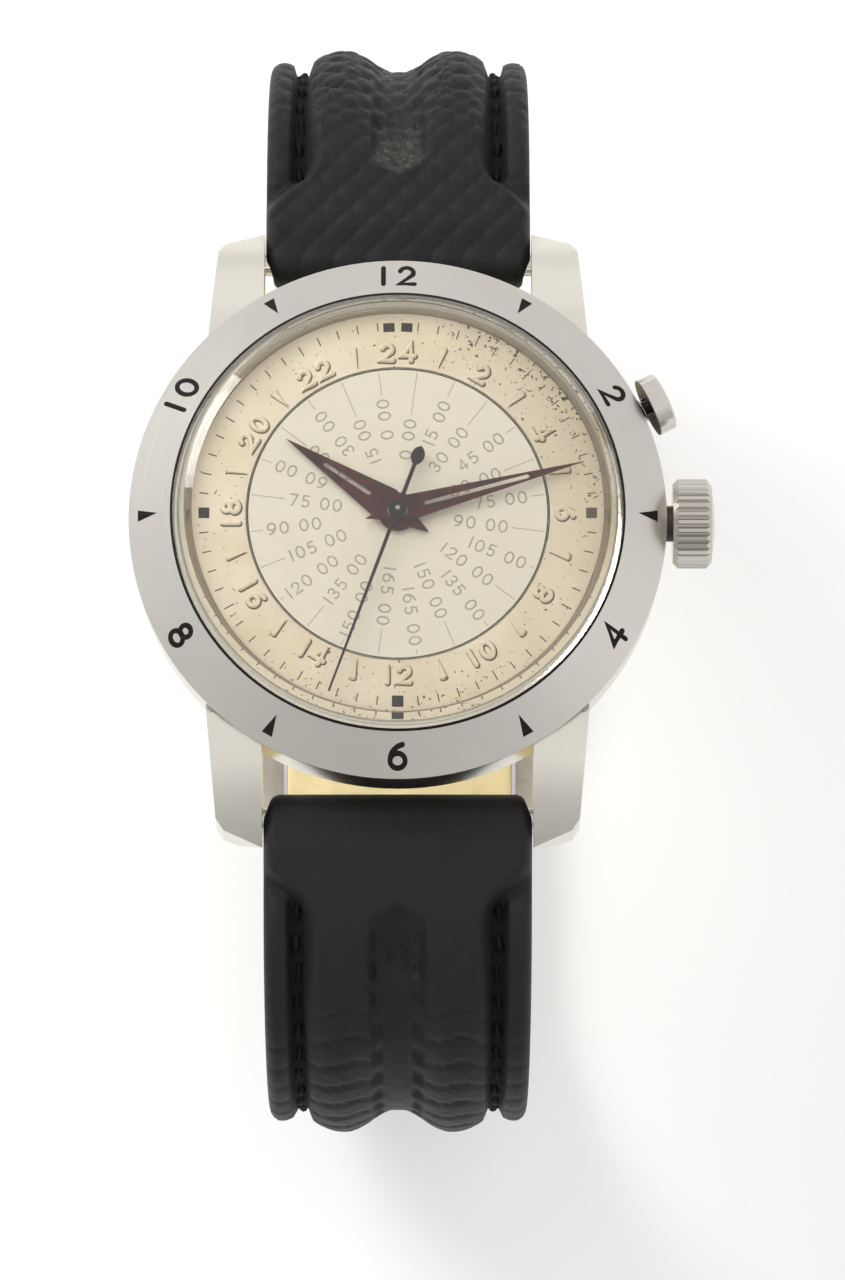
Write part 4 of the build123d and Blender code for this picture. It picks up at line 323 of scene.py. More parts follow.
def towards(tree, place, angle, low, high):
    """From 0 to 1 between two distances in millimetres along a direction over the dial."""
    way = (cos(radians(angle)), sin(radians(angle)), 0.0)
    along = add(tree, "ShaderNodeVectorMath", {0: place, 1: way}, operation="DOT_PRODUCT").outputs["Value"]
    return mapped(tree, along, low * MM, high * MM)


def blend(tree, share, first, second):
    """Mixes two colours by a share."""
    return add(tree, "ShaderNodeMix", {0: share, 6: first, 7: second}, data_type="RGBA").outputs[2]


def dial_paint(name, settings):
    """Aged matt dial lacquer: cream with yellowed patches, and painted shade greying the right side.

    Dark specks gather towards 2 o'clock, and a few at 6.
    """
    material, tree, shader = finish(name, roughness=0.5, ior=1.45)
    place = place_of(tree)
    reach = round_place(tree, place)[0]
    cloud = noise(tree, place, 5.0, 5.0, 0.6)
    aged = ramp(tree, cloud, ((0.42, tuple(settings.cream)), (0.8, tuple(settings.patina))))
    rim = mapped(tree, reach, 11.5 * MM, 14.2 * MM, 0.0, 0.3)
    toned = blend(tree, rim, aged, tuple(settings.patina))
    # Painted shade: the side towards the upper right is greyed, as though the light fell from the left
    side_shade_share = maths(tree, "MULTIPLY", towards(tree, place, 25, 7.0, 14.5), 0.5)
    toned = blend(tree, side_shade_share, toned, tuple(settings.haze))
    right = towards(tree, place, 42, 6.5, 13.5)
    low = maths(tree, "MULTIPLY", towards(tree, place, 268, 9.0, 13.0), 0.45)
    outer = mapped(tree, reach, 10.8 * MM, 13.4 * MM, 0.45, 1.0)
    dirt = maths(tree, "MULTIPLY", maths(tree, "MAXIMUM", right, low), outer)
    heaped = maths(tree, "MULTIPLY_ADD", dirt, 0.1, noise(tree, place, 0.25, 3.0, 0.55))
    spots = mapped(tree, heaped, 0.69, 0.71)
    tree.links.new(blend(tree, spots, toned, tuple(settings.stain)), shader.inputs["Base Color"])
    bump(tree, shader, noise(tree, place, 0.5, 3.0), 0.006)
    return material


def disc_lacquer(name, settings):
    """Silvered disc, lacquered and aged: satin, a little grainy, slightly yellow in places."""
    material, tree, shader = finish(name, roughness=0.42, metallic=0.15)
    place = place_of(tree)
    cloud = noise(tree, place, 4.0, 4.0, 0.6)
    warm = tuple(0.85 * a + 0.15 * b for a, b in zip(settings.disc[:3], settings.patina[:3])) + (1.0,)
    vary(tree, shader, "Base Color", cloud, (0.4, tuple(settings.disc)), (0.7, warm))
    bump(tree, shader, noise(tree, place, 0.15, 2.0), 0.004)
    return material


def hand_lacquer(name):
    """Lacquered steel hands gone red-brown with age: half matt, unevenly darkened."""
    material, tree, shader = finish(name, roughness=0.42, specular_ior_level=0.18)
    place = place_of(tree)
    vary(tree, shader, "Base Color", noise(tree, place, 1.4, 3.0, 0.5),
         (0.3, linear("2A0906")), (0.55, linear("4E150E")), (0.8, linear("5E1E14")))
    bump(tree, shader, noise(tree, place, 0.2, 2.0), 0.004)
    return material


def ink(name, colour, roughness=0.6):
    """Printed or filled ink: flat, slightly uneven, with tiny missing grains."""
    material, tree, shader = finish(name, roughness=roughness, specular_ior_level=0.2)
    tone = noise(tree, place_of(tree), 0.25, 4.0, 0.7)
    light = tuple(min(1.0, c * 1.5 + 0.01) for c in colour[:3]) + (1.0,)
    vary(tree, shader, "Base Color", tone, (0.45, tuple(colour)), (0.8, light))
    return material


def rubbed_share(tree, place):
    """Share of grey in the groove between the ridges, from its V-shaped edge on.

    The long half is greyed later and less than the short one.
    """
    parts = add(tree, "ShaderNodeSeparateXYZ", {0: place}).outputs
    side = maths(tree, "ABSOLUTE", parts[0])
    slanted = maths(tree, "MULTIPLY_ADD", side, -0.4, maths(tree, "ABSOLUTE", parts[1]))
    later = mapped(tree, parts[1], -MM, MM, 1.8 * MM, 0.0)
    slanted = maths(tree, "SUBTRACT", slanted, later)
    behind = mapped(tree, slanted, 25.3 * MM, 25.6 * MM)
    fading = mapped(tree, slanted, 27.0 * MM, 31.0 * MM, 1.0, 0.2)
    groove = mapped(tree, side, 0.9 * MM, 2.1 * MM, 1.0, 0.0)
    middle = maths(tree, "MULTIPLY", maths(tree, "MULTIPLY", behind, fading), groove)
    lint = mapped(tree, noise(tree, place, 0.4, 8.0, 0.75), 0.5, 0.68, 0.0, 0.55)
    greyed = mapped(tree, parts[1], -MM, MM, -0.22, 0.1)
    return maths(tree, "MULTIPLY", middle, maths(tree, "ADD", lint, greyed, use_clamp=True))


def leather(name, colour, grain, scuff=None, roughness=0.56):
    """Finished calf leather: fine pebbled grain, soft sheen, greyed where it has been rubbed."""
    material, tree, shader = finish(name, sheen_weight=0.04, sheen_roughness=0.5, specular_ior_level=0.3)
    place = place_of(tree)
    cell = add(
        tree, "ShaderNodeTexVoronoi", {"Vector": place, "Scale": 1 / grain, "Smoothness": 0.4},
        feature="SMOOTH_F1",
    ).outputs[0]
    tone = noise(tree, place, 4.0, 5.0, 0.6)
    shade = ramp(tree, tone, ((0.35, tuple(colour)), (0.75, tinted(colour, 1.35))))
    if scuff is not None:
        shade = blend(tree, rubbed_share(tree, place), shade, tuple(scuff))
    tree.links.new(shade, shader.inputs["Base Color"])
    vary(tree, shader, "Roughness", tone, (0.3, grey(roughness - 0.06)), (0.7, grey(roughness + 0.08)))
    bump(tree, shader, maths(tree, "ADD", cell, noise(tree, place, 0.12, 3.0)), 0.03, 0.8)
    return material


def plain_finish(name, colour, roughness, line, **sockets):
    """Moulded rubber or polished stone: even, with fine unevenness."""
    material, tree, shader = finish(name, roughness=roughness, **sockets)
    tone = noise(tree, place_of(tree), line, 3.0)
    vary(tree, shader, "Base Color", tone, (0.35, tinted(colour, 0.8)), (0.65, tuple(colour)))
    bump(tree, shader, tone, 0.003)
    return material


def dress(material, *names):
    """Gives CAD nodes a material."""
    for name in names:
        mesh = NODES[name].data
        mesh.materials.clear()
        mesh.materials.append(material)


# Meshes

def new_piece(name, vertices, faces, material, body, flat=False):
    """A mesh piece from points in millimetres, riding on a body if one is named."""
    mesh = bpy.data.meshes.new(name)
    mesh.from_pydata([tuple(c * MM for c in point) for point in vertices], [], faces)
    mesh.validate()
    mesh.update()
    mesh.polygons.foreach_set("use_smooth", [not flat] * len(mesh.polygons))
    mesh.materials.append(material)
    piece = bpy.data.objects.new(name, mesh)
    bpy.context.scene.collection.objects.link(piece)
    if body:
        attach(piece, body)
    return piece


def make_normals_point_out(piece):
    """Turns the faces of a closed piece outwards."""
    work = bmesh.new()
    work.from_mesh(piece.data)
    bmesh.ops.recalc_face_normals(work, faces=work.faces)
    work.to_mesh(piece.data)
    work.free()


def tube_faces(base, rings, sides):
    """The faces of a tube through rings of points that start at a vertex, with both ends closed."""
    faces = []
    for ring in range(rings - 1):
        start = base + ring * sides
        for corner in range(sides):
            after = (corner + 1) % sides
            faces.append((start + corner, start + after, start + sides + after, start + sides + corner))
    faces.append(tuple(range(base, base + sides)))
    faces.append(tuple(reversed(range(base + (rings - 1) * sides, base + rings * sides))))
    return faces


def arc(cx, cy, rx, ry, start, stop):
    """Points of an elliptic arc between two angles in degrees."""
    count = max(3, ceil(abs(stop - start) / 15))
    angles = [radians(start + (stop - start) * step / count) for step in range(count + 1)]
    return [(cx + rx * cos(angle), cy + ry * sin(angle)) for angle in angles]


# Each figure as strokes in a cell one unit high; a closed stroke ends where it starts
FIGURE_SHARES = {
    " ": (0.2, []),
    "0": (0.62, [arc(0.31, 0.5, 0.31, 0.5, 90, 450)]),
    "1": (0.16, [[(0.08, 1.0), (0.08, 0.0)]]),
    "2": (0.62, [arc(0.31, 0.7, 0.27, 0.3, 165, -32) + [(0.02, 0.0), (0.62, 0.0)]]),
    "3": (0.56, [arc(0.27, 0.75, 0.24, 0.25, 150, -90), arc(0.27, 0.26, 0.27, 0.26, 90, -150)]),
    "4": (0.66, [[(0.47, 0.0), (0.47, 1.0), (0.0, 0.3), (0.66, 0.3)]]),
    "5": (0.56, [[(0.52, 1.0), (0.12, 1.0), (0.07, 0.56)] + arc(0.27, 0.31, 0.28, 0.31, 130, -140)]),
    "6": (0.62, [arc(0.31, 0.31, 0.3, 0.31, 90, 450), arc(0.66, 0.36, 0.65, 0.64, 104, 180)]),
    "7": (0.56, [[(0.0, 1.0), (0.56, 1.0), (0.2, 0.0)]]),
    "8": (0.62, [arc(0.31, 0.76, 0.24, 0.24, -90, 270), arc(0.31, 0.27, 0.3, 0.27, 90, 450)]),
    "9": (0.62, [arc(0.31, 0.69, 0.3, 0.31, 90, 450), arc(-0.04, 0.64, 0.65, 0.64, -76, 0)]),
}


def figure_strokes(text, height, widen, gap):
    """The strokes of a plain number, centred on its middle; a space leaves a narrow gap."""
    widths = [FIGURE_SHARES[figure][0] * widen for figure in text]
    start = -(sum(widths) + gap * (len(text) - 1)) / 2
    strokes = []
    for figure, width in zip(text, widths):
        for stroke in FIGURE_SHARES[figure][1]:
            strokes.append([((start + x * widen) * height, (y - 0.5) * height) for x, y in stroke])
        start += width + gap
    return strokes


def rectangle(half, low, high):
    """Outline of a rectangle from its half width and its lower and upper edge."""
    return [(-half, low), (half, low), (half, high), (-half, high)]


def circle(radius):
    """Points of a closed circle round the dial's axis."""
    return [(radius * cos(2 * pi * step / 180), radius * sin(2 * pi * step / 180)) for step in range(181)]


def bead(stroke, half, relief, place, vertices, faces):
    """Adds a stroke with round ends as a rounded bead on a surface, from its half width and its height."""
    profile = ((-1.0, 0.0), (-0.72, 0.75), (0.0, 1.0), (0.72, 0.75), (1.0, 0.0))
    points = [Vector(point) for point in stroke]
    closed = (points[0] - points[-1]).length < half * 0.2
    if closed:
        points = points[:-1]
    count = len(points)
    rings = []
    for index, point in enumerate(points):
        before = points[index - 1] if closed or index else None
        after = points[(index + 1) % count] if closed or index < count - 1 else None
        ahead = (after - point).normalized() if after is not None else (point - before).normalized()
        behind = (point - before).normalized() if before is not None else ahead
        along = (ahead + behind).normalized()
        spread = 1 / max(0.5, along.dot(ahead))
        rings.append((point, along, spread))
    if not closed:
        for share, width in ((0.5, 0.87), (0.87, 0.5), (1.0, 0.08)):
            last_point, last_way, _ = rings[count - 1]
            rings.append((last_point + last_way * half * share, last_way, width))
            rings.insert(0, (points[0] - rings[0][1] * half * share, rings[0][1], width))
            count += 1
    first = len(vertices)
    for point, along, spread in rings:
        across = Vector((along.y, -along.x)) * half * spread
        for side, level in profile:
            spot = point + across * side
            vertices.append(place(spot.x, spot.y, relief * level * min(1.0, spread)))
    total = len(rings)
    for ring in range(total if closed else total - 1):
        for side in range(len(profile) - 1):
            here = first + ring * len(profile) + side
            there = first + ((ring + 1) % total) * len(profile) + side
            faces.append((here, there, there + 1, here + 1))


def plate(outline, level, place, vertices, faces, top=1.0):
    """Adds a thin flat plate with a closed outline; its top may be narrower."""
    first = len(vertices)
    for x, y in outline:
        vertices.append(place(x * top, y * (1 + top) / 2, level))
    for x, y in outline:
        vertices.append(place(x, y, 0.0))
    count = len(outline)
    faces.append(tuple(range(first, first + count)))
    for index in range(count):
        after = (index + 1) % count
        faces.append((first + index, first + count + index, first + count + after, first + after))


def turned_place(radius, angle, inward, surface):
    """Maps a small drawing at a radius and an angle to the watch; its top points out, or in."""
    turn = radians(angle + (90 if inward else -90))
    middle = Vector((radius * cos(radians(angle)), radius * sin(radians(angle))))

    def place(x, y, level):
        spot = middle + Vector((x * cos(turn) - y * sin(turn), x * sin(turn) + y * cos(turn)))
        return (spot.x, spot.y, surface(spot.length) + level)

    return place


def clock_angle(hour, hours=12):
    """Angle from 3 o'clock of an hour on the dial."""
    return 90 - 360 * hour / hours


# Sizes of the CAD model that the pieces follow, in millimetres
BEZEL_OUTER = (18.0, 7.2)
BEZEL_INNER = (15.08, 9.06)
DIAL_TOP = 8.1
DISC_TOP = 8.06
STRAP_START = (19.4, 1.74)
STRAP_BODY = [(6.0, 0.0), (11.5, 99.0), (18.0, 0.0), (14.0, 75.0)]
STRAP_FIRST_DROP = 6.0
STRAP_HALF = 8.97
STRAP_TIP_HALF = 7.97
TOP_OFFSET = 1.1
COVER_OFFSET = -0.1
LINING_OFFSET = -1.0
NOSE_RADIUS = 1.6
NOSE_HOLE = 0.82
BUCKLE_BAR = 4.5
OUTER_BAR = -8.2
STRAP_GAP = 0.15
BEND_RADIUS = 16.0
TAIL_TURN = 75.0
TAIL_ROUND = 6.0
TAIL_CUT = 5.2
KEEPER_THICKNESS = 1.0
KEEPER_CORNER = 0.35
TANG_SLOT = (-0.3, 7.2, 2.5)
NOSE_HALF = 1.02
NOSE_SLOT = 2.3
NOSE_WRAP = 250.0
NOSE_STEPS = 30
STITCH_GAP = 0.45
THREAD_STEPS = 6
THREAD_SIDES = 7
PUSHER_ANGLE = 25.7
PUSHER_HEIGHT = 5.7
PUSHER_SPRING = (16.3, 18.55)
PUSHER_SPRING_RADIUS = 0.72
PUSHER_SPRING_WIRE = 0.09
PUSHER_SPRING_TURNS = 5
COIL_STEPS = 24
COIL_SIDES = 8

# Radii that the markings stand on, in millimetres
BEZEL_NUMERALS = 16.66
BEZEL_TRIANGLES = 16.72
BEZEL_SHADOW_LINE = 15.12
DIAL_NUMERALS = 11.13
DIAL_TRACK = 12.98
DIAL_SQUARE = 12.9
DISC_EDGE = 10.0
DISC_LEADER_END = 9.82
ROUND_BRUSH_RADIUS = 16.0


def bezel_surface(radius):
    """Height of the bezel's slope at a radius."""
    (outer, low), (inner, high) = BEZEL_OUTER, BEZEL_INNER
    return low + (outer - radius) * (high - low) / (outer - inner)


def dial_surface(radius):
    """Height of the flat dial, the same at any radius."""
    return DIAL_TOP


def disc_surface(radius):
    """Height of the flat disc, the same at any radius."""
    return DISC_TOP


def whole_place(surface):
    """Maps a drawing round the dial's axis to a surface."""
    return lambda x, y, level: (x, y, surface(sqrt(x * x + y * y)) + level)


def step_from(point, distance, bearing):
    """The point at a distance along a bearing in degrees."""
    return (point[0] + distance * cos(radians(bearing)), point[1] + distance * sin(radians(bearing)))


def smooth(low, high, value):
    """From 0 to 1 between two values, with soft ends."""
    share = min(1.0, max(0.0, (value - low) / (high - low)))
    return share * share * (3 - 2 * share)


def walk(path, spacing):
    """Stations along the strap's middle line: (reach, height), heading and length so far."""
    point, heading, length = STRAP_START, -STRAP_FIRST_DROP, 0.0
    stations = [(point, heading, 0.0)]
    for size, turn in path:
        run = size if turn == 0 else size * abs(radians(turn))
        count = ceil(run / spacing)
        for step in range(1, count + 1):
            share = step / count
            if turn == 0:
                spot, angle = step_from(point, size * share, heading), heading
            else:
                side = -90 if turn > 0 else 90
                hub = step_from(point, size, heading + side)
                angle = heading - turn * share
                spot = step_from(hub, size, angle - side)
            stations.append((spot, angle, length + run * share))
        point, heading, length = stations[-1][0], stations[-1][1], length + run
    return stations


def loop_sizes():
    """The flat's height, the drop to the outer layer and its bend, as the CAD works them out."""
    corner = walk(STRAP_BODY, 5.0)[-1][0]
    drop = TOP_OFFSET - LINING_OFFSET + STRAP_GAP
    turn = degrees(2 * atan2(sqrt(drop / (4 * BEND_RADIUS - drop)), 1))
    return corner, drop, turn


def strap_path(long):
    """Runs of (length, 0) and bends of (radius, turn) of one half's middle line."""
    corner, drop, turn = loop_sizes()
    if not long:
        return STRAP_BODY + [(corner[0] - BUCKLE_BAR, 0.0)]
    bend = 2 * BEND_RADIUS * sin(radians(turn))
    return STRAP_BODY + [
        (corner[0] + OUTER_BAR, 0.0), (BEND_RADIUS, -turn), (BEND_RADIUS, turn),
        (corner[0] - (bend + OUTER_BAR), 0.0), (STRAP_BODY[3][0] + drop, TAIL_TURN),
    ]


STRAP_LOWEST = loop_sizes()[0][1] - 4 * (TOP_OFFSET - COVER_OFFSET)


def half_width(height):
    """Half the strap's width at a height: it narrows evenly towards the buckle."""
    share = (STRAP_START[1] - height) / (STRAP_START[1] - STRAP_LOWEST)
    return STRAP_HALF - (STRAP_HALF - STRAP_TIP_HALF) * share


# Places across the strap as if it were 18 mm wide all along, and along it from the lug, in millimetres
RELIEF_HALF = 9.0
PAD_HALF = 9.3
BODY_HALF = 6.15
RIDGE_MIDDLE = 3.7
RIDGE_FALL = 2.55
RIDGE_END = 43.0
GROOVE_DEPTH = 0.4
CHANNEL_MIDDLE = 6.75
CHANNEL_HALF = 0.62
CHANNEL_DEPTH = 0.7
WING_MIDDLE = 8.15
WING_HALF = 0.95
WING_RISE = 0.36
SHOULDER_RUN = 4.0
WALL = 0.95
FOLD_PITCH = 1.75
FOLD_HALF = 0.32
NOTCH_DEPTH = 0.42
DIMPLE_PITCH = 1.95
DIMPLE_MIDDLE = 1.4
DIMPLE_DEPTH = 0.36
LONG_HALF_PATTERN = 0.17


def ridge_shape(side, height):
    """Section of the padded middle: a sunken groove between two rounded ridges."""
    if side < RIDGE_MIDDLE:
        return -GROOVE_DEPTH + (height + GROOVE_DEPTH) * smooth(0.4, RIDGE_MIDDLE, side) ** 0.8
    return height * hump(side, RIDGE_MIDDLE, RIDGE_FALL) ** 0.75


def hump(value, middle, half):
    """A rounded hump one high: 1 at its middle and 0 from a half width on."""
    return max(0.0, 1 - ((value - middle) / half) ** 2)


def woven(across, along, strand):
    """Height share of pillows between creases along both diagonals, each tilted over the next."""
    u = (across + along) / (2 ** 0.5 * strand)
    v = (across - along) / (2 ** 0.5 * strand)
    first, second = u - floor(u), v - floor(v)
    over = first if (floor(u) + floor(v)) % 2 else 1 - second
    return (16 * first * (1 - first) * second * (1 - second)) ** 0.3 * (0.84 + 0.16 * over)


def strap_relief(across, along, strap, long):
    """Height of the padded leather over the flat band, in millimetres."""
    side = abs(across)
    pad_length, depth = strap.pad_length / MM, strap.weave_depth / MM
    fade = 1 - smooth(RIDGE_END - 4, RIDGE_END, along)
    # The raised middle narrows from the pad's full width, with rounded shoulders
    half = PAD_HALF - (PAD_HALF - BODY_HALF) * smooth(pad_length - 0.1, pad_length + SHOULDER_RUN, along)
    inside = 1 - smooth(half - WALL, half, side)
    pad = inside ** 0.7 * (0.92 + 0.1 * cos(side / RELIEF_HALF * pi / 2))
    # The groove opens as a V behind the pad
    to_ridge = smooth(pad_length + 2.2, pad_length + 7.0, along - 0.9 * min(side, 3.0))
    ridges = ridge_shape(side, strap.ridge_height / MM) if side < BODY_HALF + 0.1 else 0.0
    body = pad * (1 - to_ridge) + ridges * to_ridge * fade
    # Stitched channel, and the crowned wing outside it
    opened = smooth(pad_length + 1.9, pad_length + 3.4, along)
    channel = hump(side, CHANNEL_MIDDLE, CHANNEL_HALF) ** 0.5
    body += (WING_RISE * hump(side, WING_MIDDLE, WING_HALF) - CHANNEL_DEPTH * channel) * opened
    # Embossing: crossed pillows, worn nearly smooth on the long half, and creases bowed over the ridges
    bow = 0.9 * ((min(side, BODY_HALF) - RIDGE_MIDDLE) / 2.5) ** 2
    folds = (along - bow + 0.2 * sin(across * 1.7)) / FOLD_PITCH
    near = abs(folds - round(folds)) * FOLD_PITCH
    crease = max(0.0, 1 - near / FOLD_HALF) ** 1.5 * smooth(0.9, 2.4, side)
    pattern = woven(across, along * (1 + 0.25 * to_ridge), strap.weave / MM)
    if long:
        pattern *= LONG_HALF_PATTERN
    quiet = (1 - 0.95 * channel * opened) * (0.5 if side > CHANNEL_MIDDLE and opened > 0.5 else 1.0)
    body += depth * (pattern - 0.7 * crease * to_ridge) * quiet * (0.3 + 0.7 * fade)
    # The groove's scuffed end is a shallow notch with a V-shaped edge
    start = pad_length + 3.0 + 0.38 * side
    notch = smooth(start, start + 0.55, along) * (1 - smooth(pad_length + 5.5, pad_length + 9.0, along))
    body -= NOTCH_DEPTH * notch * (1 - smooth(1.4, 2.2, side))
    # Paired hollows beside the middle groove
    beat = (along - pad_length - 5.0) / DIMPLE_PITCH
    hollow = hump(side, DIMPLE_MIDDLE, 0.45) * hump(beat, round(beat), 0.36)
    body -= DIMPLE_DEPTH * hollow * fade * smooth(pad_length + 3.6, pad_length + 5.4, along)
    return body


def edge_drop(across, half, radius=0.55, drop=0.5):
    """How far the leather falls near its cut edge."""
    near = max(0.0, abs(across) - (half - radius)) / radius
    return drop * (1 - sqrt(max(0.0, 1 - near * near)))


def columns(half, count):
    """Evenly spread places across, with closer ones at both edges."""
    inner = [-half + 0.5 + (2 * half - 1.0) * step / (count - 1) for step in range(count)]
    return [-half, -half + 0.06, -half + 0.2] + inner + [half - 0.2, half - 0.06, half]


def band_mesh(stations, end, spread, top_of, bottom_of, cuts=()):
    """A closed strip through stations: top and bottom surfaces, side walls, ends and cut holes.

    cuts are (first row, last row, first column, last column) ranges of cells left open.
    """
    vertices, faces = [], []
    wide = len(spread(stations[0]))

    def spot(station, x, offset):
        reach, height = step_from(station[0], offset, station[1] + 90)
        return (x, end * reach, height)

    for station in stations:
        places = spread(station)
        vertices += [spot(station, x, top_of(station, x)) for x in places]
        vertices += [spot(station, x, bottom_of(station, x)) for x in places]

    def top(row, column):
        return row * 2 * wide + column

    def wall(row, column, next_row, next_column):
        here, there = top(row, column), top(next_row, next_column)
        faces.append((here, there, there + wide, here + wide))

    def is_open(row, column):
        return any(r0 <= row < r1 and c0 <= column < c1 for r0, r1, c0, c1 in cuts)

    rows = len(stations)
    for row in range(rows - 1):
        for column in range(wide - 1):
            if not is_open(row, column):
                here, ahead = top(row, column), top(row + 1, column)
                faces.append((here, here + 1, ahead + 1, ahead))
                faces.append((here + wide, ahead + wide, ahead + wide + 1, here + wide + 1))
        for column in (0, wide - 1):
            wall(row, column, row + 1, column)
    for row in (0, rows - 1):
        for column in range(wide - 1):
            if not is_open(min(row, rows - 2), column):
                here = top(row, column)
                faces.append((here, here + wide, here + wide + 1, here + 1))
    for r0, r1, c0, c1 in cuts:
        for row in range(r0, r1):
            for column in (c0, c1):
                wall(row, column, row + 1, column)
        for column in range(c0, c1):
            for row in (r0, r1):
                if 0 < row < rows - 1:
                    wall(row, column, row, column + 1)
    return vertices, faces


def slot_range(stations, spread, end):
    """The rows and columns of cells inside the tang's slot, on the flat of the long half."""
    middle, length, width = TANG_SLOT
    rows = [
        index for index, (point, heading, run) in enumerate(stations)
        if heading < -150 and abs(end * point[0] - middle) <= length / 2 and run > 60
    ]
    places = spread(stations[rows[0]])
    cells = [index for index, x in enumerate(places) if abs(x) <= width / 2]
    return rows[0] - 1, rows[-1] + 1, cells[0] - 1, cells[-1] + 1


def nose_range(stations, spread):
    """The rows and columns of cells where the tang turns, at the end of the short half."""
    last = stations[-1][2]
    cells = [index for index, x in enumerate(spread(stations[-1])) if abs(x) <= NOSE_HALF]
    rows = [index for index, station in enumerate(stations) if station[2] > last - NOSE_SLOT]
    return rows[0], len(stations) - 1, cells[0] - 1, cells[-1] + 1


def tail_cut(run, last):
    """How far each side of the long half is cut away near its rounded tail."""
    # The divisor is a little over the square of TAIL_ROUND, so that the very end keeps some width
    past = max(0.0, run - last + TAIL_ROUND)
    return TAIL_CUT * (1 - sqrt(max(0.0, 1 - past ** 2 / 36.5)))


def build_band(name, long, stations, half_at, count, offsets, material):
    """One half of the strap as a closed band, opened for the tang."""
    end = -1 if long else 1

    def spread(station):
        return columns(half_at(station), count)

    cut = slot_range(stations, spread, end) if long else nose_range(stations, spread)
    vertices, faces = band_mesh(stations, end, spread, *offsets, [cut])
    piece = new_piece(name, vertices, faces, material, "case")
    make_normals_point_out(piece)
    return piece


def build_cover(name, long, strap, material, replaced):
    """The padded leather of one half, with its ridges, channels, embossing and edge."""
    stations = walk(strap_path(long), 0.24)
    last = stations[-1][2]
    turns = [NOSE_WRAP * (1 - step / NOSE_STEPS) for step in range(NOSE_STEPS)]
    wraps = [(STRAP_START, turn - STRAP_FIRST_DROP, -NOSE_RADIUS * radians(turn)) for turn in turns]
    stations = wraps + stations

    def half_at(station):
        half = half_width(station[0][1]) - 0.5 * (1 - smooth(-2.4, 0.5, station[2]))
        return half - tail_cut(station[2], last) if long else half

    def top_of(station, x):
        along = station[2]
        edge = edge_drop(x, half_at(station))
        rise = strap_relief(x * RELIEF_HALF / half_width(station[0][1]), max(0.0, along), strap, long)
        nose, rounded = NOSE_RADIUS + 0.04, (rise - 0.9) * 0.9
        if along < 0:
            return nose + rounded * smooth(-3.0, 0.0, along) - edge
        settled = smooth(0.0, 2.5, along)
        return TOP_OFFSET + rise * settled + (1 - settled) * (nose - TOP_OFFSET + rounded) - edge

    def bottom_of(station, x):
        if station[2] < 0:
            return NOSE_HOLE
        return NOSE_HOLE + (COVER_OFFSET + 0.01 - NOSE_HOLE) * smooth(0.0, 1.2, station[2])

    piece = build_band(name, long, stations, half_at, 96, (top_of, bottom_of), material)
    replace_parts(piece, replaced)


def build_lining(name, long, material):
    """The thin inner leather of one half."""
    stations = [station for station in walk(strap_path(long), 0.5) if station[2] > 2.0]
    last = stations[-1][2]

    def half_at(station):
        half = half_width(station[0][1]) - 0.03
        return half - tail_cut(station[2], last) if long else half

    def top_of(station, x):
        return COVER_OFFSET - 0.01

    def bottom_of(station, x):
        return LINING_OFFSET + edge_drop(x, half_at(station), 0.35, 0.3)

    return build_band(name, long, stations, half_at, 40, (top_of, bottom_of), material)


def build_stitches(name, long, strap, material):
    """Two rows of thread along the channels of one half, over ragged black strips of painted shade on the
    channels' floors.
    """
    end = -1 if long else 1
    stations = walk(strap_path(long), 0.1)
    first = strap.pad_length / MM + 2.4
    last = stations[-1][2] - (7.0 if long else 3.2)
    stitch, half_thread = strap.stitch / MM, strap.thread_width / MM / 2
    pitch = stitch + STITCH_GAP
    vertices, faces = [], []

    def channel_middle(station):
        return CHANNEL_MIDDLE * half_width(station[0][1]) / RELIEF_HALF

    for side in (-1, 1):
        for number in range(int((last - first) / pitch)):
            middle = first + (number + 0.5) * pitch
            faces += tube_faces(len(vertices), THREAD_STEPS + 1, THREAD_SIDES)
            for step in range(THREAD_STEPS + 1):
                share = step / THREAD_STEPS
                along = middle + (share - 0.5) * stitch
                spot = int(along / stations[-1][2] * (len(stations) - 1))
                station = stations[min(len(stations) - 1, spot)]
                arch = sin(pi * share)
                x = side * (channel_middle(station) + 0.12 * (share - 0.5) + 0.08 * sin(number * 2.4))
                level = TOP_OFFSET - 0.68 + (0.2 + 0.1 * sin(number * 1.9)) * arch ** 0.5
                radius = half_thread * (0.7 + 0.3 * arch + 0.15 * sin(number * 4.1 + step))
                for corner in range(THREAD_SIDES):
                    angle = 2 * pi * corner / THREAD_SIDES
                    reach, height = step_from(station[0], level + radius * sin(angle), station[1] + 90)
                    vertices.append((x + radius * cos(angle), end * reach, height))
        # Painted shade: a ragged black strip along each channel's floor, in the thread's colour
        shade_strip_start = len(vertices)
        rows = [station for station in stations if first - 0.3 <= station[2] <= last + 0.3][::2]
        for row, station in enumerate(rows):
            for edge in (-1, 1):
                ragged = 0.4 + 0.07 * sin(row * 1.3 + edge) + 0.05 * sin(row * 0.37 + 2 * edge)
                level = TOP_OFFSET - 0.5 + 0.05 * sin(row * 2.1 + edge)
                reach, height = step_from(station[0], level, station[1] + 90)
                vertices.append((side * channel_middle(station) + edge * ragged, end * reach, height))
            if row:
                here = shade_strip_start + 2 * row
                faces.append((here - 2, here - 1, here + 1, here))
    new_piece(name, vertices, faces, material, "case")


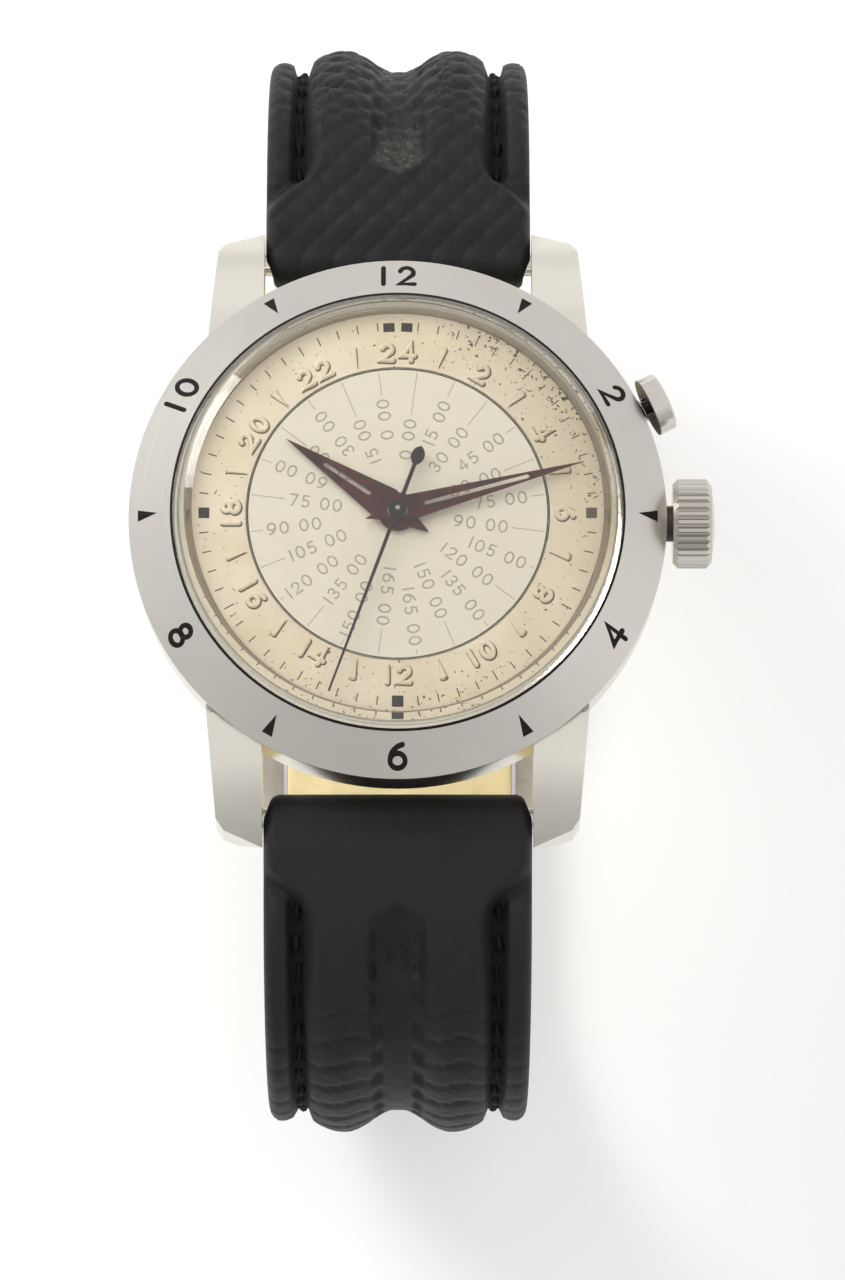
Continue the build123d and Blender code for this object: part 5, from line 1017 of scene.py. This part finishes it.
def build_keeper(name, node, material, body):
    """A leather loop with rounded corners, a crowned face and soft edges."""
    low, high = (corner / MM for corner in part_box(node))
    # Centres of the four rounded corners, each with the angle that its arc starts at
    inset = KEEPER_THICKNESS + KEEPER_CORNER
    right, top, bottom = high.x - inset, high.z - inset, low.z + inset
    path = []
    for cx, cz, start in ((right, top, 0), (-right, top, 90), (-right, bottom, 180), (right, bottom, 270)):
        for step in range(9):
            angle = radians(start + 90 * step / 8)
            path.append(((cx, cz), (cos(angle), sin(angle))))
    dense = []
    for index, (middle, way) in enumerate(path):
        dense.append((middle, way))
        after = path[(index + 1) % len(path)][0]
        if (Vector(after) - Vector(middle)).length > 0.5:
            for step in range(1, 12):
                dense.append((tuple(Vector(middle).lerp(Vector(after), step / 12)), way))
    profile = []
    for step in range(13):
        share = step / 12
        near = max(0.0, abs(share - 0.5) * 2 - 0.78) / 0.22
        fall = 0.45 * (1 - sqrt(max(0.0, 1 - near * near)))
        profile.append((low.y + (high.y - low.y) * share, KEEPER_THICKNESS - fall))
    vertices, faces = [], []
    ring = len(profile) * 2
    for (cx, cz), (wx, wz) in dense:
        for y, level in profile:
            reach = KEEPER_CORNER + level
            vertices.append((cx + wx * reach, y, cz + wz * reach))
        for y, level in reversed(profile):
            vertices.append((cx + wx * KEEPER_CORNER, y, cz + wz * KEEPER_CORNER))
    for index in range(len(dense)):
        here, after = index * ring, (index + 1) % len(dense) * ring
        for side in range(ring):
            other = (side + 1) % ring
            faces.append((here + side, here + other, after + other, after + side))
    piece = new_piece(name, vertices, faces, material, body)
    make_normals_point_out(piece)
    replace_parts(piece, node)


def build_pusher_spring(material):
    """The coil round the pusher's stem, between the spring's two ends."""
    way = Vector((cos(radians(PUSHER_ANGLE)), sin(radians(PUSHER_ANGLE)), 0.0))
    side = Vector((-way.y, way.x, 0.0))
    start, end = PUSHER_SPRING
    steps = COIL_STEPS * PUSHER_SPRING_TURNS
    vertices = []
    for step in range(steps + 1):
        turn = 2 * pi * step / COIL_STEPS
        out = side * cos(turn) + Vector((0.0, 0.0, sin(turn)))
        reach = start + (end - start) * step / steps
        for corner in range(COIL_SIDES):
            angle = 2 * pi * corner / COIL_SIDES
            spot = way * (reach + PUSHER_SPRING_WIRE * sin(angle))
            spot += out * (PUSHER_SPRING_RADIUS + PUSHER_SPRING_WIRE * cos(angle))
            vertices.append((spot.x, spot.y, spot.z + PUSHER_HEIGHT))
    faces = tube_faces(0, steps + 1, COIL_SIDES)
    piece = new_piece("pusher_coil", vertices, faces, material, None)
    make_normals_point_out(piece)
    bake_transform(piece)
    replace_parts(piece, "pusher_spring")


class WATCH_OT_metalwork(bpy.types.Operator):
    """Finishes the case, the crown, the buckle and the movement"""

    bl_idname = "watch.metalwork"
    bl_label = "Metalwork"

    def execute(self, context):
        metal = context.scene.watch_metal
        dress(brushed_steel("Satin steel bezel", "round", metal), "bezel", "case_back")
        dress(brushed_steel("Fine satin steel case", "y", metal, linear("E0DCD2"), 0.0015, 0.22), "mid_case")
        # Painted shade: the reflector's steel is darkened to grey-brown, for the shade under the crystal's
        # edge
        shaded_reflector = brushed_steel("Turned steel reflector darkened as painted shade", "round", metal, linear("A8A296"), 0.003, 0.28)
        dress(shaded_reflector, "reflector_ring")
        dress(polished_steel("Polished steel", metal), "buckle_frame", "buckle_tang", "buckle_spring_bar",
              "lug_spring_bars")
        # Painted shade: the button's side towards the case goes near black
        shaded_pusher = polished_steel("Polished steel pusher", metal, underside_shade=(PUSHER_ANGLE, 18.64, 18.75))
        dress(shaded_pusher, "pusher_button")
        dress(polished_steel("Worn steel crown", metal, linear("C2BEB6"), 0.1), "crown")
        # Painted shade: the crown and pusher tubes are darkened steel, for the shade in the gaps beside the
        # case
        dress(polished_steel("Steel tube darkened as painted shade", metal, linear("4A4640"), 0.4), "crown_tube", "pusher_tube")
        plates = brushed_steel("Rhodium plated brass", "x", metal, metal.rhodium, 0.003)
        dress(plates, "main_plate", "train_bridge", "barrel_bridge", "balance_cock", "weight_bridge",
              "casing_ring")
        brass = gear_metal("Turned brass", tuple(metal.brass), 0.3, 0.1)
        dress(brass, "minute_wheel", "hour_wheel", "transfer_wheel", "third_wheel", "fourth_wheel",
              "centre_wheel", "barrel_drum", "balance_wheel", "oscillating_weight")
        steel = gear_metal("Hardened steel", linear("B4B4B2"), 0.2, 0.08)
        dress(steel, "cannon_pinion", "setting_wheel", "sweep_pinion", "escape_wheel", "pallet_fork",
              "winding_pinion", "winding_stem", "sliding_pinion", "crown_wheel", "ratchet_wheel",
              "barrel_arbor", "setting_lever", "corrector_lever", "click", "bridge_screws")
        build_pusher_spring(steel)
        dress(gear_metal("Blued spring steel", linear("3B4A6B"), 0.25, 0.08),
              "mainspring", "hairspring", "buffer_springs")
        dress(plain_finish("Synthetic ruby", linear("9C1030"), 0.08, 0.4, ior=1.76), "jewels")
        rubber = plain_finish("Moulded nitrile rubber", linear("141414"), 0.7, 0.3)
        dress(rubber, "case_back_gasket", "crown_gasket")
        return {"FINISHED"}


class WATCH_OT_crystal(bpy.types.Operator):
    """Makes the domed crystal clear acrylic"""

    bl_idname = "watch.crystal"
    bl_label = "Crystal"

    def execute(self, context):
        dress(acrylic("Polished acrylic"), "crystal")
        return {"FINISHED"}


class WATCH_OT_bezel_markings(bpy.types.Operator):
    """Engraves the bezel's hour numerals and triangles"""

    bl_idname = "watch.bezel_markings"
    bl_label = "Bezel markings"

    def execute(self, context):
        marks = context.scene.watch_marks
        paint = ink("Black engraving paint", tuple(marks.paint))
        vertices, faces = [], []
        half = marks.stroke / MM / 2
        for hour in (12, 2, 4, 6, 8, 10):
            place = turned_place(BEZEL_NUMERALS, clock_angle(hour), hour in (4, 6, 8), bezel_surface)
            for stroke in figure_strokes(str(hour), marks.numeral_height / MM - 2 * half, 1.18, 0.64):
                bead(stroke, half, 0.015, place, vertices, faces)
        length, base = marks.triangle_length / MM, marks.triangle_base / MM
        for hour in (1, 3, 5, 7, 9, 11):
            place = turned_place(BEZEL_TRIANGLES, clock_angle(hour), True, bezel_surface)
            outline = [(-base / 2, -length / 2), (base / 2, -length / 2), (0.0, length / 2)]
            plate(outline, 0.015, place, vertices, faces)
        # Painted shade: a thin black ring just outside the bezel's inner edge, for the dark gap to the
        # crystal
        bead(circle(BEZEL_SHADOW_LINE), 0.08, 0.01, whole_place(bezel_surface), vertices, faces)
        new_piece("bezel_markings", vertices, faces, paint, "case", flat=True)
        return {"FINISHED"}


def build_dial_numerals(dial, paint):
    """The dial's raised even numerals, the wedges between them, and the dark fringe of dirt and painted
    shadow that outlines both, shifted to their lower right.
    """
    dirt = ink("Dirt and painted shadow along the raised marks", linear("6A5638"), 0.7)
    half = dial.numeral_stroke / MM / 2
    height = dial.numeral_height / MM - 2 * half
    relief = dial.numeral_relief / MM
    length, base = dial.wedge_length / MM, dial.wedge_base / MM
    vertices, faces, dirt_and_shadow_points, dirt_and_shadow_faces = [], [], [], []
    for hour in range(1, 25):
        inward = 7 < hour < 17
        place = turned_place(DIAL_NUMERALS, clock_angle(hour, 24), inward, dial_surface)

        # The dark fringe is dirt along the marks and painted shadow: it is shifted to the lower right, the
        # side away from the light
        def edge(x, y, level, place=place):
            spot = place(x, y, level)
            return (spot[0] + 0.05, spot[1] - 0.06, spot[2])

        if hour % 2:
            out = -1 if inward else 1
            wedge = [(0.0, -out * length / 2), (out * base / 2, out * (length / 2 - 0.12)),
                     (out * base / 4, out * length / 2), (-out * base / 4, out * length / 2),
                     (-out * base / 2, out * (length / 2 - 0.12))]
            plate(wedge, relief * 0.8, place, vertices, faces, 0.7)
            plate([(x * 1.12, y * 1.04) for x, y in wedge], 0.006, edge, dirt_and_shadow_points, dirt_and_shadow_faces)
            continue
        for stroke in figure_strokes(str(hour), height, 1.12, 0.6):
            bead(stroke, half, relief, place, vertices, faces)
            bead(stroke, half + 0.045, 0.006, edge, dirt_and_shadow_points, dirt_and_shadow_faces)
    new_piece("dial_numerals", vertices, faces, paint, "case", flat=True)
    new_piece("dial_dirt_and_shadow", dirt_and_shadow_points, dirt_and_shadow_faces, dirt, "case", flat=True)


def build_minute_track(dial):
    """The printed minute marks, longer every fifth, with a square at 3 o'clock."""
    track = ink("Dark dial print", tuple(dial.tick))
    vertices, faces = [], []
    for minute in range(60):
        if minute % 15 == 0:
            continue
        low = -0.42 if minute % 5 == 0 else -0.3
        place = turned_place(DIAL_TRACK, 90 - 6 * minute, False, dial_surface)
        plate(rectangle(0.04, low, 0.3), 0.012, place, vertices, faces)
    place = turned_place(DIAL_SQUARE, 0.0, False, dial_surface)
    plate(rectangle(0.36, -0.36, 0.36), 0.02, place, vertices, faces)
    new_piece("minute_track", vertices, faces, track, "case", flat=True)


def build_quarter_marks():
    """The black squares at 12, 9 and 6 o'clock, as (radius, angle, width, height)."""
    black = ink("Black dial paint", linear("1F1A15"), 0.5)
    vertices, faces = [], []
    for radius, angle, wide, tall in (
        (DIAL_SQUARE, 92.65, 0.75, 0.6), (DIAL_SQUARE, 87.35, 0.75, 0.6),
        (DIAL_SQUARE, 180.0, 0.72, 0.72), (13.05, 270.0, 0.76, 0.95),
    ):
        place = turned_place(radius, angle, False, dial_surface)
        plate(rectangle(wide / 2, -tall / 2, tall / 2), 0.03, place, vertices, faces)
    new_piece("quarter_marks", vertices, faces, black, "case", flat=True)


class WATCH_OT_dial(bpy.types.Operator):
    """Paints the dial and adds its raised numerals, minute track and square marks"""

    bl_idname = "watch.dial"
    bl_label = "Dial"

    def execute(self, context):
        dial = context.scene.watch_dial
        paint = dial_paint("Aged cream dial lacquer", dial)
        dress(paint, "dial")
        build_dial_numerals(dial, paint)
        build_minute_track(dial)
        build_quarter_marks()
        return {"FINISHED"}


class WATCH_OT_city_disc(bpy.types.Operator):
    """Silvers the turning disc and prints plain longitude figures on it"""

    bl_idname = "watch.city_disc"
    bl_label = "City disc"

    def execute(self, context):
        dial = context.scene.watch_dial
        dress(disc_lacquer("Silvered disc lacquer", dial), "city_disc")
        grey_print = ink("Grey disc print", tuple(dial.print_grey))
        height = dial.disc_letter / MM
        half = dial.disc_stroke / MM / 2
        vertices, faces = [], []
        for hour in range(24):
            angle = 90 - 7.5 - 15 * hour
            degrees_east = abs((hour * 15 + 187) % 360 - 180) // 15 * 15
            first = 5.15 if hour % 2 else 3.75
            flip = 168 < angle % 360 < 262
            strokes = figure_strokes(f"{degrees_east} 00", height, 1.1, 0.42)
            span = max(x for stroke in strokes for x, y in stroke) + half
            middle = first + span
            turn = radians(angle + (180 if flip else 0))

            def place(x, y, level, turn=turn, middle=middle, angle=angle):
                mx, my = middle * cos(radians(angle)), middle * sin(radians(angle))
                return (mx + x * cos(turn) - y * sin(turn), my + x * sin(turn) + y * cos(turn),
                        DISC_TOP + level)

            for stroke in strokes:
                bead(stroke, half, 0.008, place, vertices, faces)
            low = middle + span + 0.3
            length = DISC_LEADER_END - low
            line = turned_place(low + length / 2, angle, False, disc_surface)
            plate(rectangle(0.026, -length / 2, length / 2), 0.008, line, vertices, faces)
        new_piece("disc_print", vertices, faces, grey_print, "city_disc", flat=True)

        rim = ink("Dark disc rim", linear("463E2E"))
        vertices, faces = [], []
        bead(circle(DISC_EDGE), 0.048, 0.01, whole_place(disc_surface), vertices, faces)
        new_piece("disc_rim_line", vertices, faces, rim, "city_disc", flat=True)
        return {"FINISHED"}


class WATCH_OT_hands(bpy.types.Operator):
    """Lacquers the hands"""

    bl_idname = "watch.hands"
    bl_label = "Hands"

    def execute(self, context):
        dress(hand_lacquer("Aged red-brown lacquer"), "hour_hand", "minute_hand")
        dress(ink("Black lacquered steel", linear("16110F"), 0.35), "seconds_hand")
        return {"FINISHED"}


class WATCH_OT_strap(bpy.types.Operator):
    """Makes both halves of the padded leather strap with their linings"""

    bl_idname = "watch.strap"
    bl_label = "Strap"

    def execute(self, context):
        strap = context.scene.watch_strap
        hide = leather("Embossed black calf leather", tuple(strap.leather), strap.grain, tuple(strap.scuff))
        build_cover("strap_short_leather", False, strap, hide, "strap_short_cover")
        build_cover("strap_long_leather", True, strap, hide, "strap_long_cover")
        inner = leather("Cream lining calf leather", tuple(strap.lining), strap.grain, roughness=0.7)
        for name, long in (("strap_short_lining", False), ("strap_long_lining", True)):
            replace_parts(build_lining(name, long, inner), "strap_linings")
        return {"FINISHED"}


class WATCH_OT_stitching(bpy.types.Operator):
    """Sews the strap's two stitched channels"""

    bl_idname = "watch.stitching"
    bl_label = "Stitching"

    def execute(self, context):
        strap = context.scene.watch_strap
        thread = plain_finish("Waxed black thread", tuple(strap.thread), 0.7, 0.15, specular_ior_level=0.2)
        build_stitches("strap_short_stitches", False, strap, thread)
        build_stitches("strap_long_stitches", True, strap, thread)
        return {"FINISHED"}


class WATCH_OT_keepers(bpy.types.Operator):
    """Makes the two leather keepers"""

    bl_idname = "watch.keepers"
    bl_label = "Keepers"

    def execute(self, context):
        strap = context.scene.watch_strap
        hide = leather("Smooth black calf leather", tuple(strap.leather), strap.grain)
        build_keeper("fixed_keeper_loop", "fixed_keeper", hide, "case")
        build_keeper("free_keeper_loop", "free_keeper", hide, "free_keeper")
        return {"FINISHED"}


# The photograph's size and the place of the dial's axis in it, in pixels, and its pixels to the
# millimetre at the bezel's lower edge
PHOTO_SIZE = (845, 1280)
PHOTO_CENTRE = (397.8, 517.8)
PHOTO_SCALE = 14.96
SENSOR_HEIGHT = 36.0

FLOOR_HALF = 1.5
FLOOR_GLOW = 0.45
SKY_WAY = (0.15, 0.75, 0.35)
SKY_SHADES = ((0.0, grey(0.44)), (0.27, grey(0.64)), (0.47, grey(0.93)), (0.8, grey(0.88)))
SKY_STRENGTH = 1.05
# Each lamp's place in metres, power in watts, width in metres, and whether steel mirrors it: the key
# isn't mirrored, so that it doesn't whiten the bezel, and the weaker sheen lamp beside it is
LAMPS = {
    "key": ((-0.52, 0.44, 0.6), 3.9, 0.38, False),
    "sheen": ((-0.5, 0.46, 0.63), 2.2, 0.38, True),
    "fill": ((0.7, -0.1, 0.35), 0.12, 0.6, True),
    "back": ((0.1, 0.75, 0.42), 0.1, 0.5, True),
}


def lay_floor(stage):
    """White paper under the watch, seen at a plain white level in the picture and in mirrors."""
    low = CAD_BOX[0][2]
    material, tree, shader = finish("Matt white paper", roughness=0.9)
    shader.inputs["Base Color"].default_value = tuple(stage.floor)
    path = add(tree, "ShaderNodeLightPath").outputs
    seen = maths(tree, "MAXIMUM", path["Is Camera Ray"], path["Is Glossy Ray"])
    seen = maths(tree, "MAXIMUM", seen, path["Is Transmission Ray"])
    glow = add(tree, "ShaderNodeEmission", {"Color": grey(1.0), "Strength": 1.0}).outputs[0]
    share = maths(tree, "MULTIPLY", seen, FLOOR_GLOW)
    mix = add(tree, "ShaderNodeMixShader", {0: share, 1: shader.outputs[0], 2: glow})
    tree.links.new(mix.outputs[0], tree.nodes["Material Output"].inputs["Surface"])
    mesh = bpy.data.meshes.new("floor")
    corners = rectangle(FLOOR_HALF, -FLOOR_HALF, FLOOR_HALF)
    mesh.from_pydata([(x, y, low) for x, y in corners], [], [(0, 1, 2, 3)])
    mesh.materials.append(material)
    floor_piece = bpy.data.objects.new("floor", mesh)
    bpy.context.scene.collection.objects.link(floor_piece)


def light_studio(stage):
    """A soft surround, darker towards the viewer, and four soft lamps."""
    scene = bpy.context.scene
    world = bpy.data.worlds.new("studio")
    scene.world = world
    world.use_nodes = True
    sky = world.node_tree
    way = add(sky, "ShaderNodeTexCoord").outputs["Generated"]
    axis = add(sky, "ShaderNodeVectorMath", {0: way, 1: SKY_WAY}, operation="DOT_PRODUCT").outputs["Value"]
    back = sky.nodes["Background"]
    sky.links.new(ramp(sky, mapped(sky, axis, -0.8, 0.9), SKY_SHADES), back.inputs["Color"])
    back.inputs["Strength"].default_value = SKY_STRENGTH
    for name, (place, power, wide, mirrored) in LAMPS.items():
        lamp = bpy.data.lights.new(name, "AREA")
        lamp.energy = power * stage.lamp_power
        lamp.size = wide
        light = bpy.data.objects.new(name, lamp)
        light.location = place
        light.rotation_euler = Vector(place).to_track_quat("Z", "Y").to_euler()
        light.visible_glossy = mirrored
        scene.collection.objects.link(light)


def place_camera(stage):
    """A camera at the photograph's angle that frames the watch as the photograph does."""
    wide, tall = PHOTO_SIZE
    distance = stage.distance
    back_way = Vector((0.0, -cos(stage.elevation), sin(stage.elevation)))
    up = Vector((0.0, sin(stage.elevation), cos(stage.elevation)))
    aim = Vector((0.0, 0.0, BEZEL_OUTER[1] * MM))
    aim += Vector((1.0, 0.0, 0.0)) * (wide / 2 - PHOTO_CENTRE[0]) / PHOTO_SCALE * MM
    aim -= up * (tall / 2 - PHOTO_CENTRE[1]) / PHOTO_SCALE * MM
    lens = bpy.data.cameras.new("camera")
    lens.sensor_fit = "VERTICAL"
    lens.sensor_height = SENSOR_HEIGHT
    lens.lens = SENSOR_HEIGHT * distance / (tall / PHOTO_SCALE * MM)
    lens.clip_start = 0.01
    camera = bpy.data.objects.new("camera", lens)
    turn = back_way.to_track_quat("Z", "Y").to_matrix().to_4x4()
    camera.matrix_world = Matrix.Translation(aim + back_way * distance) @ turn
    bpy.context.scene.collection.objects.link(camera)
    bpy.context.scene.camera = camera


class WATCH_OT_stage(bpy.types.Operator):
    """Sets the pale floor, the soft studio light and the camera"""

    bl_idname = "watch.stage"
    bl_label = "Stage"

    def execute(self, context):
        stage = context.scene.watch_stage
        lay_floor(stage)
        light_studio(stage)
        place_camera(stage)
        context.scene.view_settings.view_transform = "Standard"
        return {"FINISHED"}


class WATCH_PT_panel(bpy.types.Panel):
    """Lists the watch's pieces"""

    bl_label = "Watch"
    bl_idname = "WATCH_PT_panel"
    bl_space_type = "VIEW_3D"
    bl_region_type = "UI"
    bl_category = "Watch"

    def draw(self, context):
        for operator in OPERATORS:
            self.layout.operator(operator.bl_idname)
        for name in SETTINGS:
            group = getattr(context.scene, name)
            box = self.layout.box()
            for key in group.bl_rna.properties.keys():
                if key not in ("name", "rna_type"):
                    box.prop(group, key)


OPERATORS = (
    WATCH_OT_metalwork, WATCH_OT_crystal, WATCH_OT_bezel_markings, WATCH_OT_dial, WATCH_OT_city_disc,
    WATCH_OT_hands, WATCH_OT_strap, WATCH_OT_stitching, WATCH_OT_keepers, WATCH_OT_stage,
)
SETTINGS = {
    "watch_metal": WatchMetalSettings, "watch_marks": WatchMarkingSettings, "watch_dial": WatchDialSettings,
    "watch_strap": WatchStrapSettings, "watch_stage": WatchStageSettings,
}


def register():
    """Makes the settings, the operators and the panel known to Blender."""
    for group in SETTINGS.values():
        bpy.utils.register_class(group)
    for operator in OPERATORS:
        bpy.utils.register_class(operator)
    bpy.utils.register_class(WATCH_PT_panel)
    for name, group in SETTINGS.items():
        setattr(bpy.types.Scene, name, PointerProperty(type=group))


def unregister():
    """Takes them away again."""
    for name in SETTINGS:
        delattr(bpy.types.Scene, name)
    bpy.utils.unregister_class(WATCH_PT_panel)
    for operator in reversed(OPERATORS):
        bpy.utils.unregister_class(operator)
    for group in reversed(SETTINGS.values()):
        bpy.utils.unregister_class(group)


def main():
    """Builds every piece."""
    register()
    bpy.ops.watch.metalwork()
    bpy.ops.watch.crystal()
    bpy.ops.watch.bezel_markings()
    bpy.ops.watch.dial()
    bpy.ops.watch.city_disc()
    bpy.ops.watch.hands()
    bpy.ops.watch.strap()
    bpy.ops.watch.stitching()
    bpy.ops.watch.keepers()
    bpy.ops.watch.stage()


if __name__ == "__main__":
    main()
